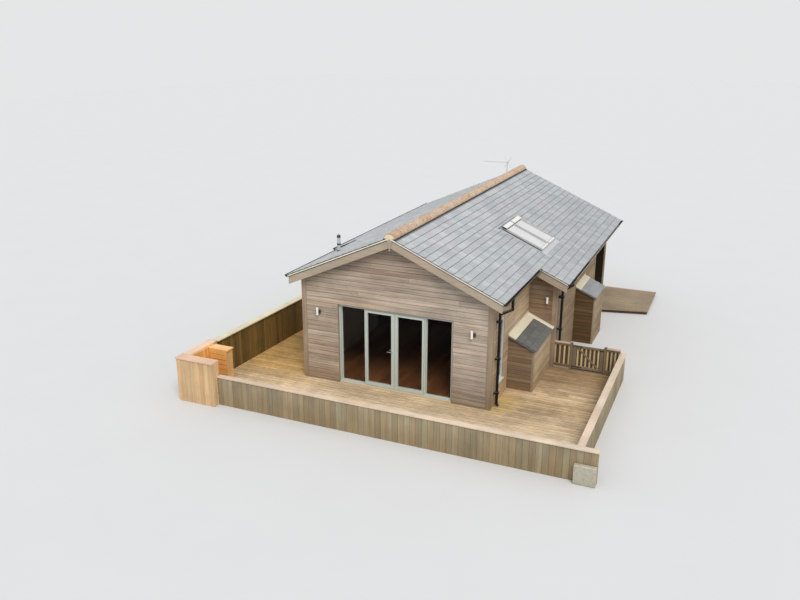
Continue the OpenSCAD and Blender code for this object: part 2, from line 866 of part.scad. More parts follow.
// A door leaf that hangs from the origin and reaches to +X, with its front at leaf_dy
module leaf(has_bore) {
    x0 = leaf_gap;
    x1 = leaf_gap + leaf_w;
    y0 = leaf_dy;
    y1 = leaf_dy + leaf_t;
    meet = meet_w + meet_step;
    yg = (y0 + y1 - glass_t) / 2;
    difference() {
        union() {
            block([x0, y0, leaf_z0], [x1, y1, leaf_z1]);
            if (has_bore)
                translate([handle_x, y0 - rose_t, handle_h]) rotate([-90, 0, 0])
                    cylinder(r = rose_r, h = leaf_t + 2 * rose_t);
        }
        block([x0 + stile_w, y0 - 20, leaf_z0 + bottom_rail], [x1 - meet, y1 + 20, leaf_z1 - top_rail]);
        block([x0 + stile_w - groove, yg, leaf_z0 + bottom_rail - groove],
              [x1 - meet + groove, yg + glass_t, leaf_z1 - top_rail + groove]);
        block([x1 - meet_step, y0 - 1, leaf_z0 - 1], [x1 + 1, y0 + meet_recess, leaf_z1 + 1]);
        if (has_bore)
            translate([handle_x, y0 - 20, handle_h]) rotate([-90, 0, 0])
                cylinder(r = neck_r + run, h = leaf_t + 40);
    }
    for (z = hinge_zs) translate([0, 0, z]) hinge_eye(34, leaf_dy, 1);
}

module leaf_glass() {
    x0 = leaf_gap + stile_w - groove;
    x1 = leaf_gap + leaf_w - meet_w - meet_step + groove;
    yg = leaf_dy + (leaf_t - glass_t) / 2;
    block([x0, yg, leaf_z0 + bottom_rail - groove], [x1, yg + glass_t, leaf_z1 - top_rail + groove]);
}

module left_leaf() {
    color("darkseagreen") translate([leaf_left, axis_y, 0]) leaf(true);
}

module left_leaf_pane() {
    color("lightblue") translate([leaf_left, axis_y, 0]) leaf_glass();
}

module right_leaf() {
    color("darkseagreen") translate([leaf_right, axis_y, 0]) mirror([1, 0, 0]) leaf(false);
}

module right_leaf_pane() {
    color("lightblue") translate([leaf_right, axis_y, 0]) mirror([1, 0, 0]) leaf_glass();
}

// Lever handles inside and outside on one spindle
module door_handle() {
    y_out = leaf_dy - lever_off;
    y_in = leaf_dy + leaf_t + lever_off;
    color("silver") translate([leaf_left + handle_x, axis_y, handle_h]) {
        translate([0, y_out, 0]) rotate([-90, 0, 0]) cylinder(r = neck_r, h = y_in - y_out);
        for (y = [y_out, y_in]) {
            translate([0, y, 0]) rotate([0, -90, 0]) cylinder(r = lever_r, h = lever_l);
            translate([0, y, 0]) sphere(r = neck_r);
            translate([-lever_l, y, 0]) sphere(r = lever_r);
        }
    }
}

// An open-topped cupboard of depth d against the wall at x0, cut to a roof that starts at height h
module cupboard(x0, d, y0, y1, z0, h) {
    along_y(y0, y1) polygon([[x0, z0], [x0 + d, z0], [x0 + d, h - d * slope], [x0, h]]);
}

module cupboard_shell(x0, d, y0, y1, z0, h) {
    difference() {
        cupboard(x0, d, y0, y1, z0, h);
        intersection() {
            block([x0 + panel_t, y0 + panel_t, z0 + panel_t], [x0 + d - panel_t, y1 - panel_t, h]);
            translate([0, 0, 1]) cupboard(x0, d, y0 - 1, y1 + 1, z0, h);
        }
    }
}

cup_roof_t = 34;
cup1_over = 50;
cup2_over = 25;
cup2_verge = 40;

// A sloping roof of depth d over a cupboard
module cupboard_roof(x0, d, y0, y1, h) {
    low = h - d * slope;
    t = cup_roof_t / cos(pitch);
    along_y(y0, y1) polygon([[x0, h], [x0 + d, low], [x0 + d, low + t], [x0, h + t]]);
}

cup1_y1 = ret_face;
cup1_y0 = cup1_y1 - cup1_l - clad_t;
cup2_y0 = ret_y + cup2_start;
cup2_y1 = cup2_y0 + cup2_l;
cup1_deep = cup1_d + clad_t;
cup2_deep = cup2_d + clad_t;
cup1_under = cup1_h - cup_roof_t / cos(pitch);
cup2_under = cup2_h - cup_roof_t / cos(pitch);

module front_cupboard() {
    wood() cupboard_shell(face_x, cup1_deep, cup1_y0, cup1_y1, deck_h, cup1_under);
}

module back_cupboard() {
    wood() cupboard_shell(ext_face, cup2_deep, cup2_y0, cup2_y1, 0, cup2_under);
}

module cupboard_roofs() {
    color("slategray") {
        cupboard_roof(face_x, cup1_deep + cup1_over, cup1_y0 - cup1_over, cup1_y1 - corner_t - seat,
                      cup1_under + seat);
        cupboard_roof(ext_face, cup2_deep + cup2_over, cup2_y0 - cup2_verge, cup2_y1 + cup2_verge,
                      cup2_under + seat);
    }
}

// Outline of a stretch of deck that meets the left fence, inset by e
function fenced_outline(y0, y1, x1, e) = [
    [left_x(y0) + seat + e, y0 + e], [x1 - e, y0 + e], [x1 - e, y1 - e], [left_x(y1) + seat + e, y1 - e]];

function plain_outline(x0, y0, x1, y1, e) = [
    [x0 + e, y0 + e], [x1 - e, y0 + e], [x1 - e, y1 - e], [x0 + e, y1 - e]];

function deck_parts(e) = [
    fenced_outline(yard_front, face_front, yard_right, e),
    fenced_outline(face_front + deck_split, deck_back, -face_x, e),
    plain_outline(face_x, face_front + deck_split, yard_right, deck_back, e)];

module deck() {
    color("burlywood") translate([0, 0, deck_h - board_t]) linear_extrude(board_t)
        for (outline = deck_parts(0)) polygon(outline);
}

joist_w = 45;
joist_step = 600;

// Rim and joists under one outline, up to height h
module joists(outer, inner, h) {
    linear_extrude(h) {
        difference() {
            polygon(outer);
            polygon(inner);
        }
        intersection() {
            polygon(outer);
            for (x = [outer[0][0] : joist_step : outer[1][0]])
                translate([x, outer[0][1]]) square([joist_w, outer[2][1] - outer[0][1]]);
        }
    }
}

module deck_frame() {
    color("sienna") for (i = [0 : 2]) joists(deck_parts(0)[i], deck_parts(joist_w)[i], deck_h - board_t);
}

rim_in = 30;
plat_x0 = ext_face + seat;
plat_y1 = porch_y + plat_l;

// Outline of the rear platform with its turned front edge, inset by e
function plat_outline(e) = [
    [plat_x0 + e, porch_y + e], [plat_x0 + plat_w - e, porch_y + tan(plat_turn) * plat_w + e],
    [plat_x0 + plat_w - e, plat_y1 - e], [plat_x0 + e, plat_y1 - e]];

module rear_platform() {
    color("burlywood") {
        translate([0, 0, plat_h - board_t]) linear_extrude(board_t) polygon(plat_outline(0));
        joists(plat_outline(rim_in), plat_outline(rim_in + joist_w), plat_h - board_t + 1);
    }
}

skin_t = 22;
skin_top = 40;
bay_max = 1500;

// A low wall of boards on both faces of its posts, open underneath, with a cap
module low_wall(x0, x1, y0, y1, h, caps) {
    along_x = x1 - x0 > y1 - y0;
    l = along_x ? x1 - x0 : y1 - y0;
    bays = ceil(l / bay_max);
    bay = (l - post_w) / bays;
    difference() {
        block([x0, y0, 0], [x1, y1, h - cap_t]);
        for (i = [0 : bays - 1]) {
            a = post_w + i * bay;
            b = (i + 1) * bay;
            if (along_x)
                block([x0 + a, y0 + skin_t, -1], [x0 + b, y1 - skin_t, h - cap_t - skin_top]);
            else
                block([x0 + skin_t, y0 + a, -1], [x1 - skin_t, y0 + b, h - cap_t - skin_top]);
        }
    }
    block([caps[0], caps[2], h - cap_t], [caps[1], caps[3], h]);
}

front_wall_y0 = yard_front - fence_t;
corner_x = left_x(yard_front) + corner_l;
stub_x = yard_right + fence_t + stub_l;

// A boarded block at the foot of the front wall's end
block_d = 120;
block_h = 430;

module front_low_wall() {
    wood() {
        low_wall(corner_x, stub_x, front_wall_y0, yard_front, low_h,
                 [corner_x, stub_x + cap_over, front_wall_y0 - cap_over, yard_front + cap_over]);
        block([yard_right - 20, front_wall_y0 - block_d, 0], [stub_x, front_wall_y0 + 1, block_h]);
    }
}

right_past = 160;
right_end = fence_y + right_past;

module right_low_wall() {
    wood() low_wall(yard_right, yard_right + fence_t, yard_front, right_end, low_h,
                    [yard_right - cap_over, yard_right + fence_t + cap_over, yard_front + cap_over,
                     right_end + cap_over]);
}

// A strip along the left fence, between two offsets from its inner face
module fence_strip(a, b, y0, y1, z0, z1) {
    translate([0, 0, z0]) linear_extrude(z1 - z0)
        polygon([[left_x(y0) + a, y0], [left_x(y0) + b, y0], [left_x(y1) + b, y1], [left_x(y1) + a, y1]]);
}

left_bays = 3;
high_over = 40;
low_rail_z = 150;

// The tall corner: a side arm and a front arm, hollow below their wide caps, one plank lower than the fence
arm_x1 = left_x(yard_front);
arm_x0 = arm_x1 - store_cap_w + high_over / 2;
arm_past = 170;
arm_y1 = yard_front + store_d + store_cap_w + arm_past;
front_arm_y0 = yard_front - store_cap_w - high_over;
arm_top = high_h - 2 * cap_t;

// A hollow boarded arm under a cap
module arm(lo, hi) {
    difference() {
        block([lo[0], lo[1], 0], [hi[0], hi[1], arm_top]);
        block([lo[0] + skin_t, lo[1] + skin_t, -1], [hi[0] - skin_t, hi[1] - skin_t, arm_top - skin_top]);
    }
}

module left_fence() {
    top = high_h - cap_t;
    y0 = arm_y1;
    y1 = deck_back;
    bay = (y1 - y0 - post_w) / left_bays;
    color("saddlebrown") {
        fence_strip(-skin_t, 0, y0 - 1, y1, 0, top);
        for (z = [low_rail_z, (top + low_rail_z) / 2 - rail_h / 2, top - rail_h])
            fence_strip(-skin_t - rail_t, -skin_t + 1, y0, y1, z, z + rail_h);
        for (i = [0 : left_bays])
            fence_strip(-fence_t, -skin_t + 1, y0 + i * bay, y0 + i * bay + post_w, 0, top);
        fence_strip(-fence_t - high_over, high_over, y0 - post_w, y1, top, high_h);
        arm([arm_x0, front_arm_y0 + high_over / 2], [arm_x1, arm_y1]);
        arm([arm_x1 - 1, front_arm_y0 + high_over / 2], [corner_x, yard_front - 10]);
        block([arm_x0 - high_over / 2, front_arm_y0, arm_top - 1], [arm_x1, arm_y1, arm_top + cap_t]);
        block([arm_x1 - 1, front_arm_y0, arm_top - 1], [corner_x, yard_front - 10, arm_top + cap_t]);
    }
}

lining_t = 20;
slat_h = 118;
slat_gap = 14;
slat_t = 20;
store_post = 90;
store_over = 40;

// A store in the deck's corner: linings on the arms and a slatted back wall with a wide cap
module corner_store() {
    y0 = yard_front + store_d;
    y1 = y0 + store_cap_w;
    x0 = left_x(y1) + 5;
    x1 = x0 + store_w;
    top = deck_h + store_h - cap_t;
    color("orange") {
        translate([0, 0, deck_h]) linear_extrude(arm_top - deck_h)
            polygon([[arm_x1 + seat, yard_front], [left_x(yard_front) + lining_t, yard_front],
                     [left_x(y1) + lining_t, y1], [arm_x1 + seat, y1]]);
        for (x = [x0, x1 - store_post])
            block([x, y0 + slat_t - 1, deck_h], [x + store_post, y1 - slat_t, top]);
        for (z = [deck_h : slat_h + slat_gap : top - slat_h])
            for (y = [y0, y1 - slat_t])
                block([x0, y, z], [x1, y + slat_t, z + slat_h]);
        block([x0, y0 + slat_t, top - rail_h], [x1, y1 - slat_t, top + 1]);
        block([x0, y0 - 5, top], [x1 + store_over, y1, top + cap_t]);
    }
}

// Boards with battens in front of them between two places along X, framed by the caller
picket_step = 117;
back_t = 12;
rail_y0 = fence_y - post_w / 2;
batten_in = 12;

module battens(x0, x1, z0, z1) {
    n = round((x1 - x0 - picket_w) / picket_step);
    step = (x1 - x0 - picket_w) / max(1, n);
    for (i = [0 : n])
        block([x0 + i * step, rail_y0 + batten_in, z0], [x0 + i * step + picket_w, rail_y0 + rail_t + 1, z1]);
    block([x0 - 1, rail_y0 + rail_t, z0], [x1 + 1, rail_y0 + rail_t + back_t, z1]);
}

panel_top = pick_h - cap_t;
fence_cap_over = 25;

// A fixed panel between the places x0 and x1, notched round the right wall's cap
module fixed_panel(x0, x1) {
    difference() {
        union() {
            block([x0, rail_y0, gate_z0], [x1, rail_y0 + rail_t, gate_z0 + rail_low_h]);
            block([x0, rail_y0, panel_top - rail_h], [x1, rail_y0 + rail_t, panel_top + 1]);
            battens(x0 + 1, x1 - 1, gate_z0 + 1, panel_top - 1);
        }
        block([yard_right - cap_over - seat, yard_front, low_h - cap_t - seat],
              [yard_right + 1, right_end, low_h + seat]);
    }
    block([x0, rail_y0 - fence_cap_over, panel_top],
          [x1, rail_y0 + rail_t + back_t + fence_cap_over, pick_h]);
}

module gate_post(x) {
    block([x - post_w / 2, fence_y - post_w / 2, 0], [x + post_w / 2, fence_y + post_w / 2, pick_h + 10]);
}

gate_axis_x = post1_x + post_w / 2 + 4;
gate_axis_y = rail_y0 - gate_hinge_out;
gate_x0 = gate_axis_x + 4;
gate_x1 = post2_x - post_w / 2 - gate_gap;
gate_hinge_zs = [gate_z0 - 6, gate_top - rail_h - 12];
strap_l = 250;
strap_h = 28;
gate_stile = 85;
brace_w = 70;

module picket_fence() {
    color("tan") {
        gate_post(post1_x);
        fixed_panel(ext_face + corner_t, post1_x - post_w / 2 + 1);
        gate_post(post2_x);
        fixed_panel(post2_x + post_w / 2 - 1, yard_right);
        for (z = gate_hinge_zs) translate([gate_axis_x, gate_axis_y, z]) {
            cylinder(r = knuckle_r, h = knuckle_h);
            cylinder(r = pin_r, h = 2 * knuckle_h - 2);
            block([-40, 4, 0], [-5, gate_hinge_out + 2, knuckle_h]);
        }
    }
}

module gate() {
    z0 = gate_z0 + rail_low_h;
    z1 = gate_top - rail_h;
    back = rail_y0 + rail_t;
    in0 = gate_x0 + gate_stile;
    in1 = gate_x1 - gate_stile;
    color("tan") {
        for (x = [gate_x0, in1]) block([x, rail_y0, gate_z0], [x + gate_stile, back, gate_top]);
        block([gate_x0, rail_y0, gate_z0], [gate_x1, back, z0]);
        block([gate_x0, rail_y0, z1], [gate_x1, back, gate_top]);
        battens(in0 + 20, in1 - 20, gate_z0 + 1, gate_top - 1);
        block([gate_x0, back - 1, gate_z0], [gate_x1, back + back_t, gate_top]);
        translate([0, back, 0]) rotate([90, 0, 0]) linear_extrude(rail_t - 4)
            polygon([[in0 - 1, z1 + 1], [in0 + brace_w, z1 + 1], [in1 + 1, z0 - 1], [in1 - brace_w, z0 - 1]]);
        for (z = gate_hinge_zs) translate([gate_axis_x, gate_axis_y, z]) difference() {
            union() {
                translate([0, 0, knuckle_h + run]) cylinder(r = knuckle_r, h = knuckle_h - run);
                block([pin_r + 0.5, gate_hinge_out - 5, knuckle_h + run],
                      [strap_l, gate_hinge_out + 1, knuckle_h + strap_h]);
            }
            cylinder(r = pin_r + run, h = 3 * knuckle_h);
        }
    }
}

floor();
front_wall_left();
front_wall_right();
front_gable();
left_wall();
right_wall();
return_wall();
extension_wall();
porch_side_wall();
porch_inner_wall();
porch_end_wall();
back_wall();
roof_left();
roof_right();
extension_roof();
ridge();
front_bargeboards();
back_bargeboards();
fascias();
gutters();
downpipes();
flue();
aerial();
roof_windows();
roof_panes();
side_window();
side_window_pane();
corner_boards();
wall_lamps();
door_frame();
side_lights();
side_light_panes();
left_leaf();
left_leaf_pane();
right_leaf();
right_leaf_pane();
door_handle();
front_cupboard();
back_cupboard();
cupboard_roofs();
deck();
deck_frame();
rear_platform();
front_low_wall();
right_low_wall();
left_fence();
corner_store();
picket_fence();
gate();
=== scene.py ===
import math
import random

import bpy
from mathutils import Matrix, Vector


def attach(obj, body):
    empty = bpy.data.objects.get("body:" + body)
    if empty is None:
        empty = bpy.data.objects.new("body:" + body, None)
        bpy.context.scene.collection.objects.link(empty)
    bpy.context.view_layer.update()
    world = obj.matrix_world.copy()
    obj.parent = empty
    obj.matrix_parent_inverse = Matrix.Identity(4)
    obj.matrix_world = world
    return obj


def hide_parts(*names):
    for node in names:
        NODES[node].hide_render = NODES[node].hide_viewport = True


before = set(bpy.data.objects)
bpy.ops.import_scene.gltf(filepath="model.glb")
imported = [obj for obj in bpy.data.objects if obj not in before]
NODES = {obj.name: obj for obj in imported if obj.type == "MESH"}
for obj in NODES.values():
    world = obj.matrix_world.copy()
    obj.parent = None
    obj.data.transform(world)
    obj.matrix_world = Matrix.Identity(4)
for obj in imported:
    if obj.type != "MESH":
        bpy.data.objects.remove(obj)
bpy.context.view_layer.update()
rng = random.Random(21)
X, Y, Z = Vector((1, 0, 0)), Vector((0, 1, 0)), Vector((0, 0, 1))

# Sizes of the hut, in metres, as the CAD part has them. X points right and Y to the back.
PITCH = math.radians(23.87)
CA, SA, SLOPE = math.cos(PITCH), math.sin(PITCH), math.tan(PITCH)
RIDGE = 4.157  # where the planes over the slates meet
DECK_TOP = RIDGE - 0.025 / CA  # the same for the tops of the roof slabs
UNDER = DECK_TOP - 0.13 / CA  # and for their undersides
HALF_W, EXT_X = 2.5, 3.24  # half widths in front and behind the steps
FRONT, BACK = -5.475, 5.475
RET, PORCH, LRET = -2.275, 3.125, -1.49  # the right step, the porch and the left step
FACE = 0.02  # thickness of the cladding
DOOR_X0, DOOR_X1, DOOR_TOP = -1.5, 1.54, 2.25
BOARD = 0.129
BOARD_Z0 = DOOR_TOP - 16 * BOARD
DECK = 0.15
YARD_FRONT, YARD_RIGHT = -7.44, 4.96  # inner faces of the low walls
FENCE_T = 0.11
WALL_TOP, FENCE_TOP, ARM_TOP = 0.72, 1.13, 1.1  # undersides of the caps
FENCE_TURN = math.radians(2.6)


def left_x(y):
    """Inner face of the left fence, which runs askew."""
    return -HALF_W - 1.95 + math.tan(FENCE_TURN) * (y - FRONT)


# ---- Materials

LOOKS = {}


class Nodes:
    """The node tree of a material or world."""

    def __init__(self, owner):
        owner.use_nodes = True
        self.t = owner.node_tree

    def put(self, node, key, value):
        s = node.inputs[key]
        if isinstance(value, bpy.types.NodeSocket):
            self.t.links.new(value, s)
        else:
            s.default_value = (*value, 1) if s.type == "RGBA" else value

    def add(self, kind, inputs=(), **props):
        n = self.t.nodes.new(kind)
        for k, v in props.items():
            setattr(n, k, v)
        for k, v in dict(inputs).items():
            self.put(n, k, v)
        return n


class Tree(Nodes):
    """The nodes of a new material, with short names for those that are used."""

    def __init__(self, name, rough=0.6):
        LOOKS[name] = material = bpy.data.materials.new(name)
        super().__init__(material)
        self.bsdf = self.t.nodes["Principled BSDF"]
        self.surface("Roughness", rough)
        self.obj = self.add("ShaderNodeTexCoord").outputs["Object"]
        self.x, self.y, self.z = self.axes(self.obj)

    def surface(self, key, value):
        self.put(self.bsdf, key, value)

    def math(self, op, a, b=0.0, clamp=False):
        return self.add("ShaderNodeMath", {0: a, 1: b}, operation=op, use_clamp=clamp).outputs[0]

    def times(self, a, *factors):
        for b in factors:
            a = self.math("MULTIPLY", a, b)
        return a

    def spread(self, value, lo, hi, to_lo=0.0, to_hi=1.0, kind="LINEAR"):
        """The range from lo to hi, spread from to_lo to to_hi and held beyond."""
        inputs = {0: value, 1: lo, 2: hi, 3: to_lo, 4: to_hi}
        return self.add("ShaderNodeMapRange", inputs, interpolation_type=kind).outputs[0]

    def ease(self, value, lo, hi, to_lo=0.0, to_hi=1.0):
        return self.spread(value, lo, hi, to_lo, to_hi, "SMOOTHSTEP")

    def vary(self, noise, least, most):
        """Factors from a noise, whose values mostly lie between 0.3 and 0.7."""
        return self.spread(noise, 0.3, 0.7, least, most)

    def band(self, value, a, b, c, d):
        """One between b and c, falling to nothing at a and at d."""
        return self.times(self.spread(value, a, b), self.spread(value, d, c))

    def mix(self, fac, a, b, blend="MIX"):
        n = self.add("ShaderNodeMix", {0: fac, 6: a, 7: b}, data_type="RGBA", blend_type=blend)
        return n.outputs[2]

    def stain(self, fac, colour, by):
        """The colour, multiplied by another where fac says so."""
        return self.mix(fac, colour, self.mix(1.0, colour, by, "MULTIPLY"))

    def tint(self, colour, value):
        """The colour times a number."""
        return self.add("ShaderNodeVectorMath", {0: colour, 3: value}, operation="SCALE").outputs[0]

    def uv(self):
        return self.add("ShaderNodeUVMap", uv_map="grain").outputs[0]

    def axes(self, vector):
        return self.add("ShaderNodeSeparateXYZ", {0: vector}).outputs[:3]

    def scaled(self, vector, scale, turn=(0, 0, 0)):
        return self.add("ShaderNodeMapping", {0: vector, 2: turn, 3: scale}).outputs[0]

    def noise(self, scale, detail=3.0, vector=None, stretch=(1, 1, 1), rough=0.55):
        inputs = {"Vector": self.scaled(vector or self.obj, stretch), "Scale": scale, "Detail": detail,
                  "Roughness": rough}
        return self.add("ShaderNodeTexNoise", inputs).outputs[0]

    def attr(self, name):
        return self.add("ShaderNodeAttribute", attribute_name=name).outputs["Fac"]

    def bump(self, height, strength=0.15, distance=0.0008):
        n = self.add("ShaderNodeBump", {"Height": height, "Strength": strength, "Distance": distance})
        self.surface("Normal", n.outputs[0])

    def colour(self, value):
        self.surface("Base Color", value)


GRAIN_TURNS = {"x": (0, 0, 0), "y": (0, 0, math.pi / 2), "z": (0, math.pi / 2, 0)}


def wood(name, base, tone=0.0, streak=0.3, cast=(1.06, 0.97, 0.9), dirt=0.0, patch=0.18, grain="uv", bump=0.5,
         groove=0.0, area=None):
    """Weathered wood. Tone is the spread between boards, streak along the grain and patch over spots; cast
    turns some boards' colour, and dirt gathers near the ground. The grain runs along U or a node's axis."""
    t = Tree(name)
    v = t.uv() if grain == "uv" else t.scaled(t.obj, (1, 1, 1), GRAIN_TURNS[grain])
    wide = t.noise(1.0, 4, v, (0.8, 22, 22))
    fine = t.noise(1.0, 3, v, (7, 190, 190))
    spots = t.noise(1.3, 4)
    light = t.times(t.vary(wide, 1 - streak * 0.6, 1 + streak * 0.5),
                    t.spread(fine, 0.25, 0.75, 1 - streak * 0.3, 1 + streak * 0.25),
                    t.vary(spots, 1 - patch, 1 + patch * 0.8))
    col = t.mix(t.spread(t.noise(1.0, 3, v, (0.5, 3, 3)), 0.35, 0.65), base,
                tuple(b * c for b, c in zip(base, cast)))
    if tone:
        light = t.times(light, t.spread(t.attr("tone"), 0, 1, 1 - tone, 1 + tone))
        col = t.stain(t.attr("hue"), col, cast)
    col = t.tint(col, light)
    if groove:
        ridges = t.math("SINE", t.times(t.axes(v)[1], 2 * math.pi / groove))
        col = t.tint(col, t.spread(ridges, -1, -0.2, 0.82, 1.0))
    if area:
        col = area(t, col)
    if dirt:
        low = t.times(t.ease(t.z, 0.62, 0.12), t.spread(spots, 0.25, 0.7, 0.4, 1.0), dirt)
        col = t.stain(low, col, (0.72, 0.58, 0.38))
    # Painted shade: faces with an edge value, in the grooves and gaps between boards, are darkened
    t.colour(t.mix(t.times(t.attr("edge"), 0.52), col, t.tint(col, 0.25)))
    t.surface("Roughness", t.vary(fine, 0.62, 0.84))
    t.surface("Specular IOR Level", 0.3)
    height = t.math("ADD", t.times(wide, 0.5), fine)
    if groove:
        height = t.math("ADD", height, t.times(ridges, 1.2))
    t.bump(height, bump, 0.0015)


def slate(name, shade=(1, 1, 1)):
    """Riven slate: U runs along the eaves and V up from each slate's tail."""
    t = Tree(name)
    tone = t.attr("tone")
    cast = t.math("ADD", t.times(t.attr("hue"), 0.55), t.ease(t.noise(0.8, 4), 0.36, 0.64, 0, 0.5))
    col = t.mix(cast, (0.355, 0.386, 0.382), (0.398, 0.384, 0.398))
    col = t.mix(t.spread(tone, 0.7, 1.0, 0, 0.7), col, (0.385, 0.408, 0.392))
    mottle = t.noise(26.0, 4)
    cloud = t.noise(1.1)
    col = t.tint(col, t.times(t.vary(mottle, 0.88, 1.12), t.spread(tone, 0, 1, 0.9, 1.08),
                              t.vary(cloud, 0.93, 1.07)))
    lichen = t.spread(t.noise(55.0, 2), 0.68, 0.74, 0, 0.25)
    col = t.mix(lichen, col, (0.45, 0.45, 0.4))
    # Painted shadow under the course above, near each slate's head
    shadow_under_next = t.spread(t.axes(t.uv())[1], 0.17, 0.192, 0, 0.72)
    col = t.mix(shadow_under_next, col, (0.1, 0.105, 0.115))
    # Painted shade on the slates' edge faces
    col = t.mix(t.attr("edge"), col, (0.04, 0.042, 0.048))
    # Painted light: paler towards the front and darker towards the back, and on the right slope paler at the
    # ridge and darker at the eaves
    col = t.tint(col, t.times(t.ease(t.y, -3.5, 2.5, 1.02, 0.93), t.spread(t.x, 0.8, 3.3, 1.05, 0.92)))
    t.colour(t.mix(1.0, col, shade, "MULTIPLY"))
    t.surface("Roughness", t.vary(mottle, 0.42, 0.62))
    t.bump(t.math("ADD", mottle, t.noise(120.0)), 0.5, 0.002)


def coated(name, base, rough, scale=30.0, amount=0.06, grime=0.0, spec=0.5, metallic=0.0, brushed=(1, 1, 1)):
    """Paint, plastic, metal or mortar with a faint unevenness, and grime that follows large spots."""
    t = Tree(name)
    n = t.noise(scale, 4, stretch=brushed)
    dirty = tuple(b * c for b, c in zip(base, (0.62, 0.58, 0.5)))
    t.colour(t.mix(t.spread(t.noise(2.2, 4), 0.42, 0.72, 0, grime),
                   t.tint(base, t.vary(n, 1 - amount, 1 + amount)), dirty))
    t.surface("Roughness", t.vary(n, rough - 0.06, rough + 0.08))
    t.surface("Specular IOR Level", spec)
    t.surface("Metallic", metallic)
    t.bump(n)


def glass():
    """A sealed unit: nearly clear, with the sheen of its front face."""
    t = Tree("door_glass")
    t.colour(t.tint((0.02, 0.024, 0.026), t.vary(t.noise(3.0), 0.9, 1.1)))
    t.surface("Roughness", t.spread(t.noise(9.0, 4), 0.35, 0.8, 0.03, 0.09))
    through = t.add("ShaderNodeBsdfTransparent", {0: (0.95, 0.96, 0.955)})
    fresnel = t.add("ShaderNodeFresnel", {"IOR": 1.5})
    front = t.math("SUBTRACT", 1.0, t.add("ShaderNodeNewGeometry").outputs["Backfacing"])
    sheen = t.math("ADD", t.times(fresnel.outputs[0], front, 1.1), 0.015, clamp=True)
    mix = t.add("ShaderNodeMixShader", {0: sheen, 1: through.outputs[0], 2: t.bsdf.outputs[0]})
    t.put(t.t.nodes["Material Output"], 0, mix.outputs[0])


def front_shading(t, col):
    """Painted light on the front gable: a painted shadow under the verge, darker at its foot, and painted
    paler, bluer light towards its right.
    """
    height = t.times(t.ease(t.z, 2.35, 3.3, 1.12, 0.86), t.ease(t.z, 1.1, 1.6, 0.9, 1.0))
    light = t.tint(t.mix(t.ease(t.x, -0.5, 2.3), (0.98, 0.98, 0.97), (1.03, 1.08, 1.13)), height)
    return t.mix(1.0, col, t.mix(t.spread(t.y, -5.3, -5.4), (1, 1, 1), light), "MULTIPLY")


def deck_tone(t, col):
    """Palest in front of the doors, brown beside the hut, with a yellow stain near the corner, and on the
    left darker and yellower: painted shade with a moss tone.
    """
    pale = t.times(t.ease(t.y, -5.5, -6.6), t.ease(t.x, -3.6, -1.6), 0.45)
    col = t.mix(pale, col, (0.8, 0.67, 0.5))
    blotch = t.times(t.ease(t.noise(1.1, 5), 0.45, 0.65, 0, 0.55), t.spread(t.y, -6.4, -5.0))
    brown = t.times(t.ease(t.x, 2.3, 3.2), t.math("MAXIMUM", t.ease(t.y, -4.3, -2.9), blotch))
    col = t.stain(brown, col, (0.58, 0.53, 0.47))
    yellow = t.times(t.ease(t.x, 3.25, 2.7), t.spread(t.x, 2.3, 2.5), t.ease(t.y, -5.9, -5.2),
                     t.ease(t.y, -4.2, -4.8, 0, 0.6))
    col = t.mix(yellow, col, (0.5, 0.34, 0.09))
    # Painted shade on the left of the deck, with a yellow moss tone
    left = t.times(t.ease(t.x, -2.2, -2.7), t.ease(t.y, -6.4, -5.0))
    col = t.stain(left, col, (0.86, 0.72, 0.42))
    rough = t.noise(1.0, 5, stretch=(5, 26, 5), rough=0.65)
    return t.tint(col, t.vary(rough, 0.74, 1.2))


def gutter_plastic():
    """Black plastic with a painted sky reflection: greyer in the back runs, and a pale tan on the right outer
    faces.
    """
    t = Tree("gutter_plastic")
    x, y = t.math("ABSOLUTE", t.x), t.y
    right = t.spread(t.x, -0.1, 0.1)
    # Painted sky reflection on the right outer faces
    inner = t.times(t.band(x, 2.872, 2.88, 2.945, 2.95), t.band(y, -4.82, -4.72, -2.7, -2.62))
    outer = t.times(t.spread(x, 3.612, 3.62), t.band(y, -1.95, -1.85, 5.45, 5.55))
    patch = t.spread(t.noise(2.5), 0.35, 0.6, 0.55, 1.0)
    painted_reflection = t.times(t.math("MAXIMUM", inner, outer), patch, right)
    # Painted sky reflection: the back runs are painted greyer
    run = t.band(y, 0, 0.1, 5.1, 5.2)
    n = t.noise(12, 4)
    base = t.mix(run, (0.007, 0.007, 0.007), t.mix(right, (0.07, 0.07, 0.07), (0.16, 0.142, 0.122)))
    t.colour(t.mix(painted_reflection, t.tint(base, t.vary(n, 0.8, 1.2)), (0.46, 0.38, 0.31)))
    t.surface("Roughness", t.vary(n, 0.32, 0.5))
    t.bump(n)


def pipe_plastic():
    """Black plastic with a painted grey highlight on what faces up."""
    t = Tree("pipe_plastic", 0.45)
    t.surface("Specular IOR Level", 0.25)
    n = t.noise(14, 4)
    up = t.axes(t.add("ShaderNodeNewGeometry").outputs["Normal"])[2]
    # Painted highlight on the faces that look up, in patches
    painted_highlight = t.times(t.ease(up, 0.45, 0.9), t.spread(n, 0.3, 0.65, 0.3, 1.0))
    t.colour(t.mix(painted_highlight, t.tint((0.006, 0.006, 0.006), t.vary(n, 0.8, 1.2)), (0.2, 0.205, 0.21)))
    t.bump(n)


def lamp_steel():
    """Pale brushed bars on dark wall plates."""
    t = Tree("lamp_steel", 0.35)
    plate = t.math("MAXIMUM", t.spread(t.y, -2.304, -2.3), t.band(t.y, -5.486, -5.482, -5.4, -5.3))
    n = t.noise(30, 4, stretch=(1, 1, 6))
    t.colour(t.tint(t.mix(plate, (0.84, 0.81, 0.72), (0.07, 0.055, 0.045)), t.vary(n, 0.92, 1.06)))
    t.bump(n)


